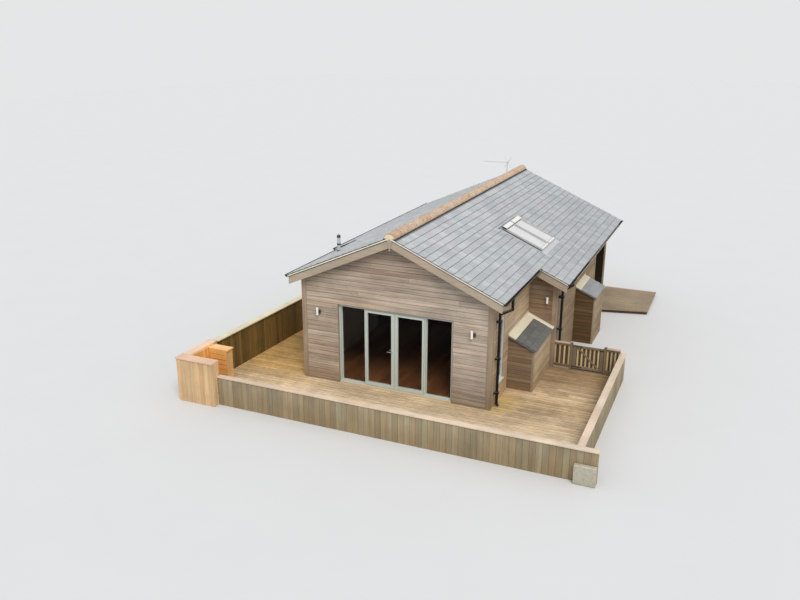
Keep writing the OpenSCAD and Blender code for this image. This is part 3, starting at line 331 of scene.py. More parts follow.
def plank_floor():
    """Dark floor boards along the hut, grey-brown ones in the porch, and a front edge like the deck."""
    t = Tree("floor_wood")
    planks = {"Vector": t.scaled(t.obj, (1, 1, 1), GRAIN_TURNS["y"]), "Scale": 1.0, "Mortar Size": 0.0025,
              "Brick Width": 1.6, "Row Height": 0.14, "Color1": (0.16, 0.058, 0.02),
              "Color2": (0.27, 0.105, 0.038), "Mortar": (0.012, 0.006, 0.004)}
    brick = t.add("ShaderNodeTexBrick", planks, offset=0.37)
    grain = t.noise(1.0, 4, stretch=(60, 2.2, 60))
    col = t.tint(brick.outputs[0], t.vary(grain, 0.75, 1.3))
    col = t.mix(t.spread(t.y, -5.41, -5.43), col, (0.6, 0.47, 0.31))
    porch = t.times(t.spread(t.x, 2.2, 2.21), t.spread(t.y, 3.0, 3.01))
    t.colour(t.mix(porch, col, t.tint((0.1, 0.078, 0.05), t.vary(grain, 0.7, 1.3))))
    t.surface("Roughness", t.vary(grain, 0.28, 0.45))
    t.bump(t.math("ADD", grain, t.times(brick.outputs[1], -2.0)), 0.3, 0.001)


def banded_flue():
    """Pale flue pipe with dark base, joint band and cap."""
    t = Tree("flue_metal", 0.45)
    n = t.noise(30, 4)
    dark = t.spread(t.z, 3.172, 3.166)
    for lo, hi in ((3.308, 3.35), (3.504, 3.5845)):
        dark = t.math("MAXIMUM", dark, t.band(t.z, lo, lo + 0.002, hi - 0.002, hi))
    t.colour(t.tint(t.mix(dark, (0.46, 0.48, 0.48), (0.035, 0.036, 0.04)), t.vary(n, 0.88, 1.12)))
    t.bump(n, 0.2, 0.001)


def terracotta():
    """Fired clay from orange to pink, with lichen and dark spots."""
    t = Tree("terracotta", 0.8)
    n = t.noise(14, 4)
    col = t.mix(t.attr("tone"), (0.42, 0.235, 0.135), (0.5, 0.385, 0.225))
    col = t.mix(t.times(t.attr("hue"), 0.75), col, (0.54, 0.37, 0.32))
    col = t.mix(t.ease(t.noise(5), 0.5, 0.62, 0, 0.65), col, (0.47, 0.4, 0.25))
    col = t.tint(col, t.vary(n, 0.74, 1.24))
    col = t.mix(t.spread(t.noise(30), 0.58, 0.66, 0, 0.55), col, (0.62, 0.55, 0.42))
    col = t.mix(t.spread(t.noise(17), 0.6, 0.68, 0, 0.75), col, (0.16, 0.085, 0.06))
    # Painted shade on the faces the edge value marks: the tiles' lips and undersides
    t.colour(t.mix(t.times(t.attr("edge"), 0.8), col, (0.07, 0.045, 0.035)))
    t.bump(n, 0.4, 0.003)


PLAIN, WARM, DEEP = (1.06, 0.97, 0.9), (1.04, 0.95, 0.86), (1.04, 0.93, 0.86)

# Woods of boards: name, colour, tone, streak, cast, dirt
for row in (
        # A paler copy of the cladding, painted light for the sunlit right faces
        ("cladding_tan", (0.43, 0.345, 0.235), 0.2, 0.34, WARM, 0.5),
        ("cladding_extension", (0.258, 0.197, 0.122), 0.22, 0.4, WARM, 0.5),
        # Darker copies with painted shade: the return wall and front cupboard's cross faces, the back
        # cupboard's cross faces, and the deep porch
        ("cladding_dark", (0.242, 0.182, 0.119), 0.22, 0.4, DEEP, 0.5),
        ("cladding_deep", (0.107, 0.07, 0.029), 0.22, 0.4, DEEP, 0.5),
        ("cladding_porch", (0.02, 0.014, 0.004), 0.25, 0.4, WARM),
        ("platform_rim", (0.075, 0.04, 0.028)),
        ("low_wall_boards", (0.285, 0.248, 0.165), 0.16, 0.28, PLAIN, 0.5),
        ("cap_planks", (0.61, 0.53, 0.41), 0.08, 0.18, (1.05, 0.95, 0.92)),
        ("fence_cap", (0.66, 0.6, 0.43), 0.08, 0.18, (1.0, 0.97, 0.92)),
        ("arm_caps", (0.68, 0.535, 0.4), 0.08, 0.18, (1.05, 0.95, 0.9)),
        ("fence_boards", (0.15, 0.099, 0.028), 0.3, 0.55),
        ("arm_boards", (0.6, 0.44, 0.26), 0.14, 0.25, (1.05, 0.95, 0.85)),
        ("new_wood", (0.78, 0.45, 0.15), 0.12, 0.25, (1.05, 0.93, 0.8)),
        ("new_wood_pale", (0.76, 0.5, 0.24), 0.1, 0.2, (1.04, 0.95, 0.85)),
        # Near black filling that shows as painted shade in the gaps between boards
        ("gap_boards", (0.1, 0.055, 0.025)),
        ("picket_wood", (0.56, 0.43, 0.25), 0.12, 0.25, (0.95, 0.95, 0.9)),
        ("backing_boards", (0.085, 0.062, 0.042), 0.2, 0.4),
        ("picket_frame", (0.19, 0.158, 0.105), 0.1, 0.3),
        ("picket_cap", (0.47, 0.375, 0.31), 0.08, 0.2)):
    wood(*row)
wood("cladding", (0.392, 0.328, 0.259), 0.15, 0.5, (1.02, 0.955, 0.93), 0.7, area=front_shading)
GROOVE = 0.0143  # spacing of the grooves in deck boards
wood("decking", (0.68, 0.52, 0.335), 0.16, 0.3, (0.94, 0.9, 0.84), patch=0.22, groove=GROOVE, area=deck_tone)
wood("platform_boards", (0.325, 0.262, 0.17), 0.12, 0.22, (1.0, 0.93, 0.9), patch=0.15, groove=GROOVE)
wood("bargeboard", (0.39, 0.333, 0.258), streak=0.16, patch=0.1, grain="x")
wood("corner", (0.31, 0.245, 0.175), dirt=0.6, grain="z")
wood("joist", (0.23, 0.165, 0.11), grain="x")
wood("lining", (0.34, 0.3, 0.235), streak=0.1, patch=0.06, grain="z", bump=0.2)
wood("soffit", (0.22, 0.165, 0.12), grain="y")

# Coatings: name, colour, roughness, scale and amount of the unevenness, grime, sheen
for row in (
        ("mortar", (0.72, 0.62, 0.4), 0.85, 40, 0.12, 0.5, 0.2),
        ("verge_strip", (0.74, 0.69, 0.58), 0.7, 40, 0.1, 0.5, 0.3),
        # Mortar under the ridge tiles' lips, painted near black as shade
        ("ridge_bed", (0.065, 0.055, 0.048), 0.9, 30, 0.3, 0.4, 0.2),
        ("cupboard_flashing", (0.67, 0.61, 0.455), 0.6, 20, 0.08, 0.3, 0.3),
        # Near black for the painted shadow lines along the verges
        ("black_plastic", (0.018, 0.019, 0.021), 0.33, 12, 0.2),
        ("lead", (0.17, 0.18, 0.19), 0.5, 14, 0.12, 0.3),
        ("apron_metal", (0.47, 0.465, 0.49), 0.45, 14, 0.08, 0.2),
        ("roof_window_metal", (0.4, 0.4, 0.4), 0.4, 20, 0.1, 0.2),
        ("roof_window_seal", (0.035, 0.035, 0.036), 0.5, 20, 0.1, 0.2),
        ("roof_pane", (0.58, 0.58, 0.555), 0.12, 5, 0.04, 0.2),
        ("roof_window_cover", (0.7, 0.69, 0.65), 0.4, 10, 0.04, 0.15),
        ("frame_paint", (0.5, 0.54, 0.49), 0.42, 60, 0.04, 0.18),
        ("window_paint", (0.6, 0.62, 0.6), 0.4, 60, 0.04, 0.2),
        ("black_iron", (0.03, 0.028, 0.026), 0.55, 30, 0.2, 0.3),
        ("concrete", (0.42, 0.39, 0.31), 0.9, 22, 0.16, 0.5, 0.2)):
    coated(*row)
coated("brushed_steel", (0.62, 0.62, 0.6), 0.3, metallic=1.0, brushed=(1, 1, 9))
coated("aerial_metal", (0.62, 0.63, 0.62), 0.45, scale=40, metallic=0.6)

slate("slate")
# Darker copies of the slate, with painted shade, for the roofs of the back and front cupboards
slate("slate_lightly_shaded", (0.82, 0.82, 0.82))
slate("slate_deeply_shaded", (0.3519, 0.3381, 0.3174))
for make in (glass, gutter_plastic, pipe_plastic, lamp_steel, plank_floor, banded_flue, terracotta):
    make()


# ---- Mesh code


def new_object(name, data):
    o = bpy.data.objects.new(name, data)
    bpy.context.scene.collection.objects.link(o)
    return o


class Build:
    """Collects a piece's faces, each with a map along the grain, a tone, a hue and an edge value of painted
    shade.
    """

    def __init__(self, *looks):
        self.looks = looks
        self.v, self.f, self.uvs, self.vals, self.mats = [], [], [], [], []
        self.tone = self.hue = 0.5
        self.off = (0.0, 0.0)
        self.mat = 0

    def use(self, look, fresh=False):
        """Takes one of the piece's materials for what follows, which may be a new board."""
        self.mat = self.looks.index(look)
        if fresh:
            self.fresh()

    def fresh(self, lo=0.0, hi=1.0):
        """Starts a new board, with its own tone and place in the grain."""
        self.tone = rng.uniform(lo, hi)
        self.hue = rng.random()
        self.off = (rng.uniform(0, 40), rng.uniform(0, 9))

    def face(self, pts, grain, edge=0.0, uv=None):
        pts = [Vector(p) for p in pts]
        self.f.append(range(len(self.v), len(self.v) + len(pts)))
        self.v += pts
        if uv is None:
            n = (pts[1] - pts[0]).cross(pts[2] - pts[1])
            across = n.normalized().cross(grain) if n.length > 1e-12 else Z
            if across.length < 0.3:
                across = n.orthogonal().normalized()
            uv = [(p.dot(grain) + self.off[0], p.dot(across) + self.off[1]) for p in pts]
        self.uvs += uv
        self.vals.append((self.tone, self.hue, edge))
        self.mats.append(self.mat)

    def rings(self, rings, grain, edges=None, caps=True):
        """Faces between matching rings of points, and over the first and last ring."""
        for a, b in zip(rings, rings[1:]):
            for i in range(len(a)):
                j = (i + 1) % len(a)
                self.face([a[i], a[j], b[j], b[i]], grain, edges[i] if edges else 0.0)
        if caps:
            self.face(list(reversed(rings[0])), grain)
            self.face(rings[-1], grain)

    def extrude(self, ring, along, length, edges=None):
        self.rings([ring, [p + along * length for p in ring]], along, edges)

    def prism(self, corners, z0, z1, grain):
        """An upright prism over corners in plan."""
        self.rings([[Vector((*c, z)) for c in corners] for z in (z0, z1)], grain)

    def bar(self, o, along, w, t, length, profile, edges=None):
        """A straight piece from o along a direction, with a profile in w and t."""
        ring = [Vector(o) + w * a + t * b for a, b in profile]
        if along.cross(w).dot(t) < 0:
            ring.reverse()
            edges = edges and edges[-2::-1] + edges[-1:]
        self.extrude(ring, along, length, edges)

    def plank(self, o, along, w, t, length, width, thick, c=0.003, edges=None, wear=0.0):
        """A new board whose outer long edges are eased, thinner by up to its wear."""
        self.fresh()
        if wear:
            thick -= rng.uniform(0, wear)
        profile = [(0, 0), (width, 0), (width, thick - c), (width - c, thick), (c, thick), (0, thick - c)]
        self.bar(o, along, w, t, length, profile, edges)

    def block(self, lo, hi, grain=X, c=0.003):
        """A box whose edges along the grain are eased."""
        i = max(range(3), key=lambda k: grain[k])
        along, w, t = (X, Y, Z, X, Y)[i:i + 3]
        d = Vector(hi) - Vector(lo)
        e, f = d.dot(w), d.dot(t)
        c = min(c, e / 3, f / 3)
        profile = [(c, 0), (e - c, 0), (e, c), (e, f - c), (e - c, f), (c, f), (0, f - c), (0, c)]
        self.bar(lo, along, w, t, d.dot(along), profile)

    def piece(self, name, body="hut", replaces=None):
        me = bpy.data.meshes.new(name)
        me.from_pydata(self.v, [], [list(f) for f in self.f])
        me.uv_layers.new(name="grain").data.foreach_set("uv", [c for p in self.uvs for c in p])
        for i, key in enumerate(("tone", "hue", "edge")):
            a = me.attributes.new(key, "FLOAT", "FACE")
            a.data.foreach_set("value", [v[i] for v in self.vals])
        for look in self.looks:
            me.materials.append(LOOKS[look])
        me.polygons.foreach_set("material_index", self.mats)
        me.update()
        o = new_object(name, me)
        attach(o, body)
        if replaces:
            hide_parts(replaces)


def clip(poly, a, b, c):
    """The part of a convex polygon in (u, z) where a*u + b*z <= c."""
    out = []
    for i, p in enumerate(poly):
        q = poly[(i + 1) % len(poly)]
        dp, dq = a * p[0] + b * p[1] - c, a * q[0] + b * q[1] - c
        if dp <= 0:
            out.append(p)
        if dp * dq < 0:
            s = dp / (dp - dq)
            out.append((p[0] + s * (q[0] - p[0]), p[1] + s * (q[1] - p[1])))
    return out


def minus(rect, hole, least):
    """The rectangles (u0, u1, v0, v1), wider than least, that are left of one without a hole."""
    u0, u1, v0, v1 = rect
    h0, h1, g0, g1 = hole
    if h1 <= u0 or h0 >= u1 or g1 <= v0 or g0 >= v1:
        return [rect]
    m0, m1 = max(u0, h0), min(u1, h1)
    left = (u0, h0, v0, v1), (h1, u1, v0, v1), (m0, m1, v0, g0), (m0, m1, g1, v1)
    return [r for r in left if r[1] - r[0] > least and r[3] - r[2] > least]


LEAST_ROW, LEAST_END = 0.012, 0.35
BOARD_LENGTHS = (2.1, 4.2)
ROOF_CUTS = ((SLOPE, 1, UNDER - 0.002), (-SLOPE, 1, UNDER - 0.002))


def cladding(b, out, face, u0, u1, z0, z1, cuts=(), holes=(), pitch=BOARD, base=BOARD_Z0, thick=FACE,
             tones=(0.0, 1.0)):
    """Horizontal boards from u0 to u1, whose backs stand at face and which look towards out."""
    along = X if out.y else Y
    o = face * Vector((abs(out.x), abs(out.y), 0))
    z = base + math.floor((z0 - base) / pitch) * pitch
    while z < z1:
        lo, hi = max(z, z0), min(z + pitch, z1)
        z += pitch
        if hi - lo < LEAST_ROW:
            continue
        spans = [(u0, u1, lo, hi)]
        for hole in holes:
            spans = [part for span in spans for part in minus(span, hole, LEAST_ROW)]
        for u, e, p, q in spans:
            length = rng.uniform(0.5, BOARD_LENGTHS[1])
            while u < e - 1e-6:
                n = u + length if e - (u + length) >= LEAST_END else e
                length = rng.uniform(*BOARD_LENGTHS)
                b.fresh(*tones)
                one_board(b, o, along, out, u, n, p, q, cuts, thick)
                u = n


def one_board(b, o, along, out, u, n, p, q, cuts, thick):
    """A board from u to n between heights p and q, bevelled in front and cut to the roof."""
    gap = 0.0015 if n - u > 0.2 else 0.0
    bevel, depth = 0.0055, 0.008
    u, n = u + gap, n - gap
    full = [(u, p), (n, p), (n, q), (u, q)]
    inner = [(u, p + bevel), (n, p + bevel), (n, q - bevel), (u, q - bevel)]
    for cut in cuts:
        full, inner = clip(full, *cut), clip(inner, *cut)
    if len(full) < 3:
        return
    if len(inner) != len(full):
        inner = full
    thick += rng.uniform(-0.0012, 0.0)
    rings = [[o + along * a + Z * c + out * t for a, c in poly]
             for poly, t in ((full, 0.0), (full, thick - depth), (inner, thick))]
    if along.cross(Z).dot(out) < 0:
        rings = [list(reversed(r)) for r in rings]
    b.rings(rings[:2], along, caps=False)
    # The bevel faces carry the edge value: painted shade in the grooves between boards
    b.rings(rings[1:], along, [1.0] * len(full), caps=False)
    b.face(rings[2], along)


def roof_point(side, s, y, n=0.0):
    """A place on a slope: s down from the ridge, y along it, n out of it."""
    return Vector((side * (s * CA + n * SA), y, DECK_TOP - s * SA + n * CA))


COURSE = 0.191  # the main courses' spacing, on which the slates' map is drawn


def slates(b, place, tails, y0, y1, holes=(), skip=0):
    """Courses of slates whose lower edges are at the tails, by place(s, y, n). Skipped courses only take
    their random draws."""
    width, lap, thick, joint = 0.25, 0.028, 0.009, 0.0015
    for k, tail in enumerate(tails):
        step = tail - tails[k - 1] if k else tails[1] - tails[0]
        head = tail - step - lap
        rise = lambda s: 0.004 + 0.01 * (s - head) / (tail - head)
        y = y0 - (width / 2 if k % 2 else 0.0)
        while y < y1:
            a, e = max(y, y0) + joint, min(y + width, y1) - joint
            y += width
            if e - a < 0.03:
                continue
            b.fresh()
            rects = [(a, e, head, tail + rng.uniform(-0.003, 0.003))]
            lift = [rng.uniform(0, 0.003) for _ in range(2)]
            for h in holes:
                rects = [r for rect in rects for r in minus(rect, h, 0.02)]
            for p, q, s0, s1 in rects if k >= skip else ():
                pts = [(s1, p, lift[0]), (s1, q, lift[1]), (s0, q, 0.0), (s0, p, 0.0)]
                up = [place(s, u, rise(s) + thick + more) for s, u, more in pts]
                down = [place(s, u, rise(s)) for s, u, more in pts]
                if (up[1] - up[0]).cross(up[2] - up[1]).z < 0:
                    for points in (up, down, pts):
                        points.reverse()
                b.face(up, Y, 0.0, [(u, (tail - s) * COURSE / max(step, COURSE)) for s, u, more in pts])
                # The edge faces carry painted shade, darkest at the tails
                for i in range(4):
                    j = (i + 1) % 4
                    b.face([down[i], down[j], up[j], up[i]], Y, 1.0 if pts[i][0] == pts[j][0] == s1 else 0.75)


# ---- Walls

ON_DECK, ON_GROUND, ON_PORCH = DECK + 0.005, 0.045, 0.183  # the lowest boards' lower edges
GABLE_TOP, STEP_TOP = 4.0, 3.0
CORNER_W, END_SHORT = 0.095, 0.075  # the corner boards' cover and the porch wall's set-back
face_y, face_x = FRONT + FACE, HALF_W - FACE
ext_face, ret_face, lret_face = EXT_X - FACE, RET + FACE, LRET + FACE
back_face, porch_face = BACK - FACE, PORCH - FACE
in_back = back_face - 0.13
eave, ext_eave = (UNDER - SLOPE * half - 0.002 for half in (HALF_W, EXT_X))
SUNNY, SHADED = (0.3, 1.0), (0.0, 0.8)  # tones of the boards on side and cross walls

b = Build("cladding")
cladding(b, -Y, face_y, -face_x + CORNER_W, face_x - CORNER_W, ON_DECK, GABLE_TOP, ROOF_CUTS,
         [(DOOR_X0, DOOR_X1, 0, DOOR_TOP)])
b.piece("front_cladding")

b = Build("cladding")
cladding(b, -X, -face_x, face_y + CORNER_W, ret_face, ON_DECK, eave)
cladding(b, -X, -face_x, ret_face, LRET, ON_GROUND, eave)
cladding(b, -Y, lret_face, -ext_face + CORNER_W, -HALF_W, ON_GROUND, STEP_TOP, ROOF_CUTS)
cladding(b, -X, -ext_face, lret_face + CORNER_W, back_face - CORNER_W, ON_GROUND, ext_eave)
b.piece("left_cladding")

# The paler copy of the cladding: painted light on the sunlit right wall
b = Build("cladding_tan")
SIDE_WINDOW, BEHIND_CUPBOARD = (-5.025, -4.525, 0.6, 2.23), (-4.125, -2.25, 0, 1.585)
cladding(b, X, face_x, face_y + CORNER_W, RET, ON_DECK, eave, holes=[SIDE_WINDOW, BEHIND_CUPBOARD],
         tones=SUNNY)
b.piece("right_cladding")

# A darker copy of the cladding: painted shade on the return wall
b = Build("cladding_dark", "corner")
ABOVE_CUPBOARD = (-SLOPE, -1, -1.592 - SLOPE * HALF_W)
cladding(b, -Y, ret_face, HALF_W, ext_face - CORNER_W, ON_DECK, STEP_TOP, (*ROOF_CUTS, ABOVE_CUPBOARD),
         tones=SHADED)
b.use("corner", True)
b.block((3.126, ret_face - 0.03, 1.295), (3.149, ret_face, 1.579), Z)
b.piece("return_cladding")

b = Build("cladding_extension")
cladding(b, X, ext_face, ret_face + CORNER_W, porch_face - CORNER_W, ON_GROUND, ext_eave,
         holes=[(0.155, 1.485, 0, 1.705)], tones=SUNNY)
b.piece("extension_cladding")

# A near-black copy of the cladding: painted deep shade in the porch
b = Build("cladding_porch", "corner")
cladding(b, Y, porch_face, HALF_W, ext_face - CORNER_W, ON_PORCH, STEP_TOP, ROOF_CUTS)
cladding(b, X, face_x, PORCH, in_back - FACE, ON_PORCH, eave)
cladding(b, -Y, in_back, HALF_W, ext_face - END_SHORT, ON_PORCH, STEP_TOP, ROOF_CUTS)
b.use("corner", True)
b.block((ext_face - CORNER_W, porch_face, 0.126), (ext_face, porch_face + 0.028, 0.179), X)
b.piece("porch_cladding")

b = Build("cladding")
cladding(b, Y, back_face, -ext_face + CORNER_W, ext_face - END_SHORT - CORNER_W, ON_GROUND, GABLE_TOP,
         ROOF_CUTS)
b.piece("back_cladding")

# ---- Roof

VERGE0, VERGE1 = -5.7, 5.7
STEP_VERGE = {-1: LRET, 1: RET}  # by side
EAVE_S, EXT_EAVE_S = (HALF_W + 0.305) / CA, (EXT_X + 0.335) / CA
FIRST_TAIL, COURSES, EXT_COURSES = 0.39, 14, 4
tails = [FIRST_TAIL + (EAVE_S - FIRST_TAIL) / COURSES * k for k in range(COURSES + 1)]
ext_tails = [EAVE_S + (EXT_EAVE_S - EAVE_S) / EXT_COURSES * k for k in range(1, EXT_COURSES + 1)]
RW_S0, RW_S1, RW_Y0, RW_Y1 = 1.52, 2.75, -1.33, 0.12  # the pair of roof windows
window_hole = (RW_Y0 - 0.05, RW_Y1 + 0.05, RW_S0 - 0.05, RW_S1 + 0.05)
DOWN, OUT = Vector((CA, 0, -SA)), Vector((SA, 0, CA))

for side, name in ((-1, "slates_left"), (1, "slates_right")):
    b = Build("slate")
    place = lambda s, y, n: roof_point(side, s, y, n)
    slates(b, place, tails, VERGE0, VERGE1, [window_hole] if side > 0 else [])
    slates(b, place, [EAVE_S - 0.001] + ext_tails, STEP_VERGE[side] - 0.275, VERGE1, skip=1)
    b.piece(name)

# Round-topped ridge tiles, bedded on mortar
RIDGE_R, RIDGE_C, RIDGE_HALF = 0.1464, RIDGE - 0.0684, 0.142
TILES = 25
tile_l = (VERGE1 - VERGE0 - 0.01) / TILES


def arc(y, z=0.0, inset=0.0, narrower=0.0, n=14):
    """Points of the ridge's round top, or of one set in from it, from left to right."""
    r = RIDGE_R - inset
    a = math.asin((RIDGE_HALF - narrower) / r)
    angles = [-a + 2 * a * i / n for i in range(n + 1)]
    return [Vector((r * math.sin(g), y, RIDGE_C + r * math.cos(g) + z)) for g in angles]


b = Build("terracotta")
for k in range(TILES):
    b.fresh()
    y0 = VERGE0 + 0.005 + k * tile_l
    lift = rng.uniform(-0.0015, 0.0005)
    rings = [arc(y, lift) + arc(y, lift, 0.017, 0.014)[::-1] for y in (y0, y0 + tile_l - 0.014)]
    # The tiles' lips and undersides carry painted shade through the edge value
    b.rings(rings, Y, [0.0] * 14 + [0.5] * 16)
b.piece("ridge_tiles", replaces="ridge")

b = Build("mortar", "ridge_bed")
b.fresh()
y0 = VERGE0 + 0.008
ring = arc(y0, inset=0.01, narrower=0.008)
ring += [Vector((side * (RIDGE_HALF - 0.006), y0, RIDGE - 0.05)) for side in (1, -1)]
b.extrude(ring, Y, VERGE1 - VERGE0 - 0.016)
# The bed under the tiles' lips is painted dark as shade
b.use("ridge_bed")
for side in (-1, 1):
    b.fresh()
    bed = [roof_point(side, s, VERGE0 + 0.01, n)
           for s, n in ((0.1, 0.0), (0.172, 0.006), (0.16, 0.034), (0.1, 0.035))]
    if side > 0:
        bed.reverse()
    b.extrude(bed, Y, VERGE1 - VERGE0 - 0.02)
for k in range(1, TILES):
    b.fresh()
    y = VERGE0 + 0.005 + k * tile_l - 0.013
    b.rings([arc(at, 0.0, 0.006, 0.01, 10) for at in (y, y + 0.012)], Y, caps=False)
b.piece("ridge_mortar")


def verge(b, side, y, out, s0, s1):
    """Cream strip along a verge between two painted shadow lines, on the bargeboard's top."""
    along, normal = Vector((side * CA, 0, -SA)), Vector((side * SA, 0, CA))
    b.fresh()
    for lo, hi, depth, look in ((-0.032, -0.002, 0.018, "verge_strip"),
                                (-0.002, 0.01, 0.004, "black_plastic"),
                                (-0.052, -0.032, 0.004, "black_plastic")):
        b.use(look)
        b.bar(roof_point(side, s0, y, lo), along, normal, Y * out, s1 - s0,
              [(0, -0.03), (hi - lo, -0.03), (hi - lo, depth), (0, depth)])


b = Build("verge_strip", "black_plastic")
for side in (-1, 1):
    verge(b, side, -5.673, -1, 0.03, EAVE_S - 0.02)
    verge(b, side, 5.673, 1, 0.03, EXT_EAVE_S - 0.02)
for side in (1, -1):
    verge(b, side, STEP_VERGE[side] - 0.248, -1, 2.76 / CA, EXT_EAVE_S - 0.02)
b.piece("verge_strips")

# Roof windows: covers over the frames and flashings round them
COVER, SEAL, METAL = "roof_window_cover", "roof_window_seal", "roof_window_metal"
b = Build(COVER, SEAL, "lead", METAL, "apron_metal")


def on_roof(look, y0, y1, s0, s1, n0, n1):
    """A bar on the right slope, from n0 to n1 above it, with eased top edges."""
    b.use(look, True)
    w, t = s1 - s0, n1 - n0
    c = min(0.01, t / 3, w / 3)
    b.bar(roof_point(1, s0, y0, n0), Y, DOWN, OUT, y1 - y0,
          [(0, 0), (w, 0), (w, t - c), (w - c, t), (c, t), (0, t - c)])


RW_TOP = 0.085
for y0, end in ((RW_Y0, 0.0), (RW_Y0 + 0.75, 0.03)):
    y1 = y0 + 0.7
    on_roof(COVER, y0 + 0.004, y1 + end, RW_S0 - 0.02, RW_S0 + 0.115, 0.03, RW_TOP + 0.03)
    on_roof(SEAL, y0 - 0.008, y0 + 0.003, RW_S0 - 0.018, RW_S0 + 0.118, 0.03, RW_TOP + 0.026)
    on_roof(SEAL, y0 + 0.012, y1 - 0.012, RW_S0 + 0.117, RW_S0 + 0.132, 0.05, RW_TOP + 0.004)
    for a, e in ((y0 - 0.006, y0 + 0.042), (y1 - 0.042, y1 + 0.004)):
        on_roof(METAL, a, e, RW_S0 + 0.119, RW_S1 + 0.004, 0.052, RW_TOP + 0.008)
    on_roof(COVER, y0 + 0.043, y1 - 0.043, RW_S1 - 0.045, RW_S1 + 0.006, 0.05, RW_TOP + 0.006)
on_roof(SEAL, RW_Y0 - 0.022, RW_Y0 - 0.009, RW_S0, RW_S1 + 0.01, 0.0, 0.055)
SKIRT0, SKIRT1 = RW_Y0 - 0.09, RW_Y1 + 0.09  # the flashings' ends
for a, e in ((SKIRT0, RW_Y0 - 0.024), (RW_Y1 + 0.031, SKIRT1)):
    on_roof("apron_metal", a, e, RW_S0 - 0.09, RW_S1 + 0.1, 0.0, 0.028)
on_roof("apron_metal", SKIRT0, SKIRT1, RW_S1 + 0.011, RW_S1 + 0.17, 0.0, 0.0295)
on_roof("lead", SKIRT0, SKIRT1, RW_S0 - 0.1, RW_S0 - 0.024, 0.0, 0.0295)
on_roof("lead", RW_Y0 + 0.705, RW_Y0 + 0.741, RW_S0, RW_S1, 0.0, 0.04)
b.piece("roof_window_covers")

# ---- Cupboards


def cupboard(name, looks, wall_x, y0, y1, z0, h, depth, roof_y0, roof_y1, over, flash, back_flash=0.0):
    """A boarded lean-to at wall_x under a slate roof from roof_y0 to roof_y1. The flashing at its top is as
    wide as flash, and the one at its back end, where that stands against a wall, as back_flash."""
    slate_look, cross_look, side_look = looks
    post, thick, top = 0.05, 0.018, h - 0.04
    x1, low = wall_x + depth, top - SLOPE * depth
    inner = x1 - thick
    under_roof = (SLOPE, 1, top + SLOPE * wall_x)
    rows = {"pitch": 0.105, "base": z0, "thick": thick}
    b = Build(cross_look, "corner", "joist", side_look)
    cladding(b, -Y, y0 + thick, wall_x - FACE, x1 - post, z0, h, (under_roof,), tones=SHADED, **rows)
    b.use(side_look)
    cladding(b, X, inner, y0 + post, y1 - post, z0, low, tones=SUNNY, **rows)
    if not back_flash:
        b.use(cross_look)
        cladding(b, Y, y1 - thick, wall_x - FACE, x1 - post, z0, h, (under_roof,), **rows)
    b.use("corner")
    for a, e in ((y0 - 0.002, y0 + post + 0.002),
                 (y1 - post, y1 - 0.001) if back_flash else (y1 - post - 0.002, y1 + 0.002)):
        b.fresh()
        b.block((x1 - post, a, z0), (x1 + 0.002, e, low - 0.002), Z, 0.004)
    b.use("joist")
    b.block((wall_x, y0 + thick, z0), (inner, y1 - thick, z0 + 0.03))
    for y in (y0 + thick, y1 - 0.03):
        ring = [Vector((x, y, z)) for x, z in ((wall_x, z0), (inner, z0), (inner, low), (wall_x, top))]
        b.rings([ring, [p + Y * 0.012 for p in ring]], X)
    b.block((x1 - 0.03, y0 + 0.03, z0), (inner, y1 - 0.03, low), Y)
    b.piece(name + "_boards", replaces=name)

    place = lambda s, y, t: Vector((wall_x + s * CA + t * SA, y, h - s * SA + (t - 0.02) * CA))
    s_low = (depth + over) / CA
    under = flash + 0.02
    back = roof_y1 - back_flash
    b = Build(slate_look)
    slates(b, place, [under + (s_low - under) / 3 * k for k in (1, 2, 3)], roof_y0 - 0.004,
           back + (0.0 if back_flash else 0.004))
    b.piece(name + "_slates")
    b = Build("cupboard_flashing")
    b.fresh()
    start, length = roof_y0 - 0.006, roof_y1 - roof_y0 + 0.006
    b.bar(place(0.0, start, 0.008), Y, DOWN, OUT, length,
          [(0, 0), (flash + 0.012, 0), (flash + 0.012, 0.016), (flash + 0.006, 0.02), (0, 0.02)])
    b.bar(place(0.0, start, 0.0), Y, X, Z, length, [(0, 0), (0.012, 0), (0.01, 0.075), (0, 0.075)])
    if back_flash:
        b.bar(place(0.0, back, 0.006), DOWN, Y, OUT, s_low + 0.004,
              [(0, 0), (back_flash, 0), (back_flash, 0.04), (0.02, 0.04), (0, 0.016)])
    b.piece(name + "_flashing")


# The cupboards' cross faces and slates take darker copies with painted shade
cupboard("front_cupboard", ("slate_deeply_shaded", "cladding_dark", "cladding_tan"), HALF_W, -4.075, -2.255,
         DECK + 0.001, 1.58, depth=0.65, roof_y0=-4.125, roof_y1=-2.286, over=0.05, flash=0.19,
         back_flash=0.13)
cupboard("back_cupboard", ("slate_lightly_shaded", "cladding_deep", "cladding_extension"), EXT_X, 0.195, 1.445, 0.0,
         1.7, depth=0.58, roof_y0=0.155, roof_y1=1.485, over=0.025, flash=0.15)

# ---- Deck, platform and fences

DECK_ROW, DECK_T, DECK_WEAR, JOINT = 0.125, 0.028, 0.0015, 0.0025
LONGEST = 3.6  # a deck board's length


def decking(b, x_of, y0, y1):
    """Boards along X between the ends that x_of(y) gives."""
    rows = round((y1 - y0) / DECK_ROW)
    step = (y1 - y0) / rows
    for k in range(rows):
        a, e = y0 + k * step + JOINT, y0 + (k + 1) * step - JOINT
        u, x1 = x_of((a + e) / 2)
        length = rng.uniform(0.8, LONGEST)
        while u < x1 - 1e-6:
            n = u + length if x1 - (u + length) >= 0.5 else x1
            length = LONGEST
            # All faces but the top carry the edge value: painted shade in the gaps between boards
            b.plank((u + 0.001, a, DECK - DECK_T), X, Y, Z, n - u - 0.002, e - a, DECK_T, 0.006,
                    [1, 1, 1, 0, 1, 1], DECK_WEAR)
            u = n


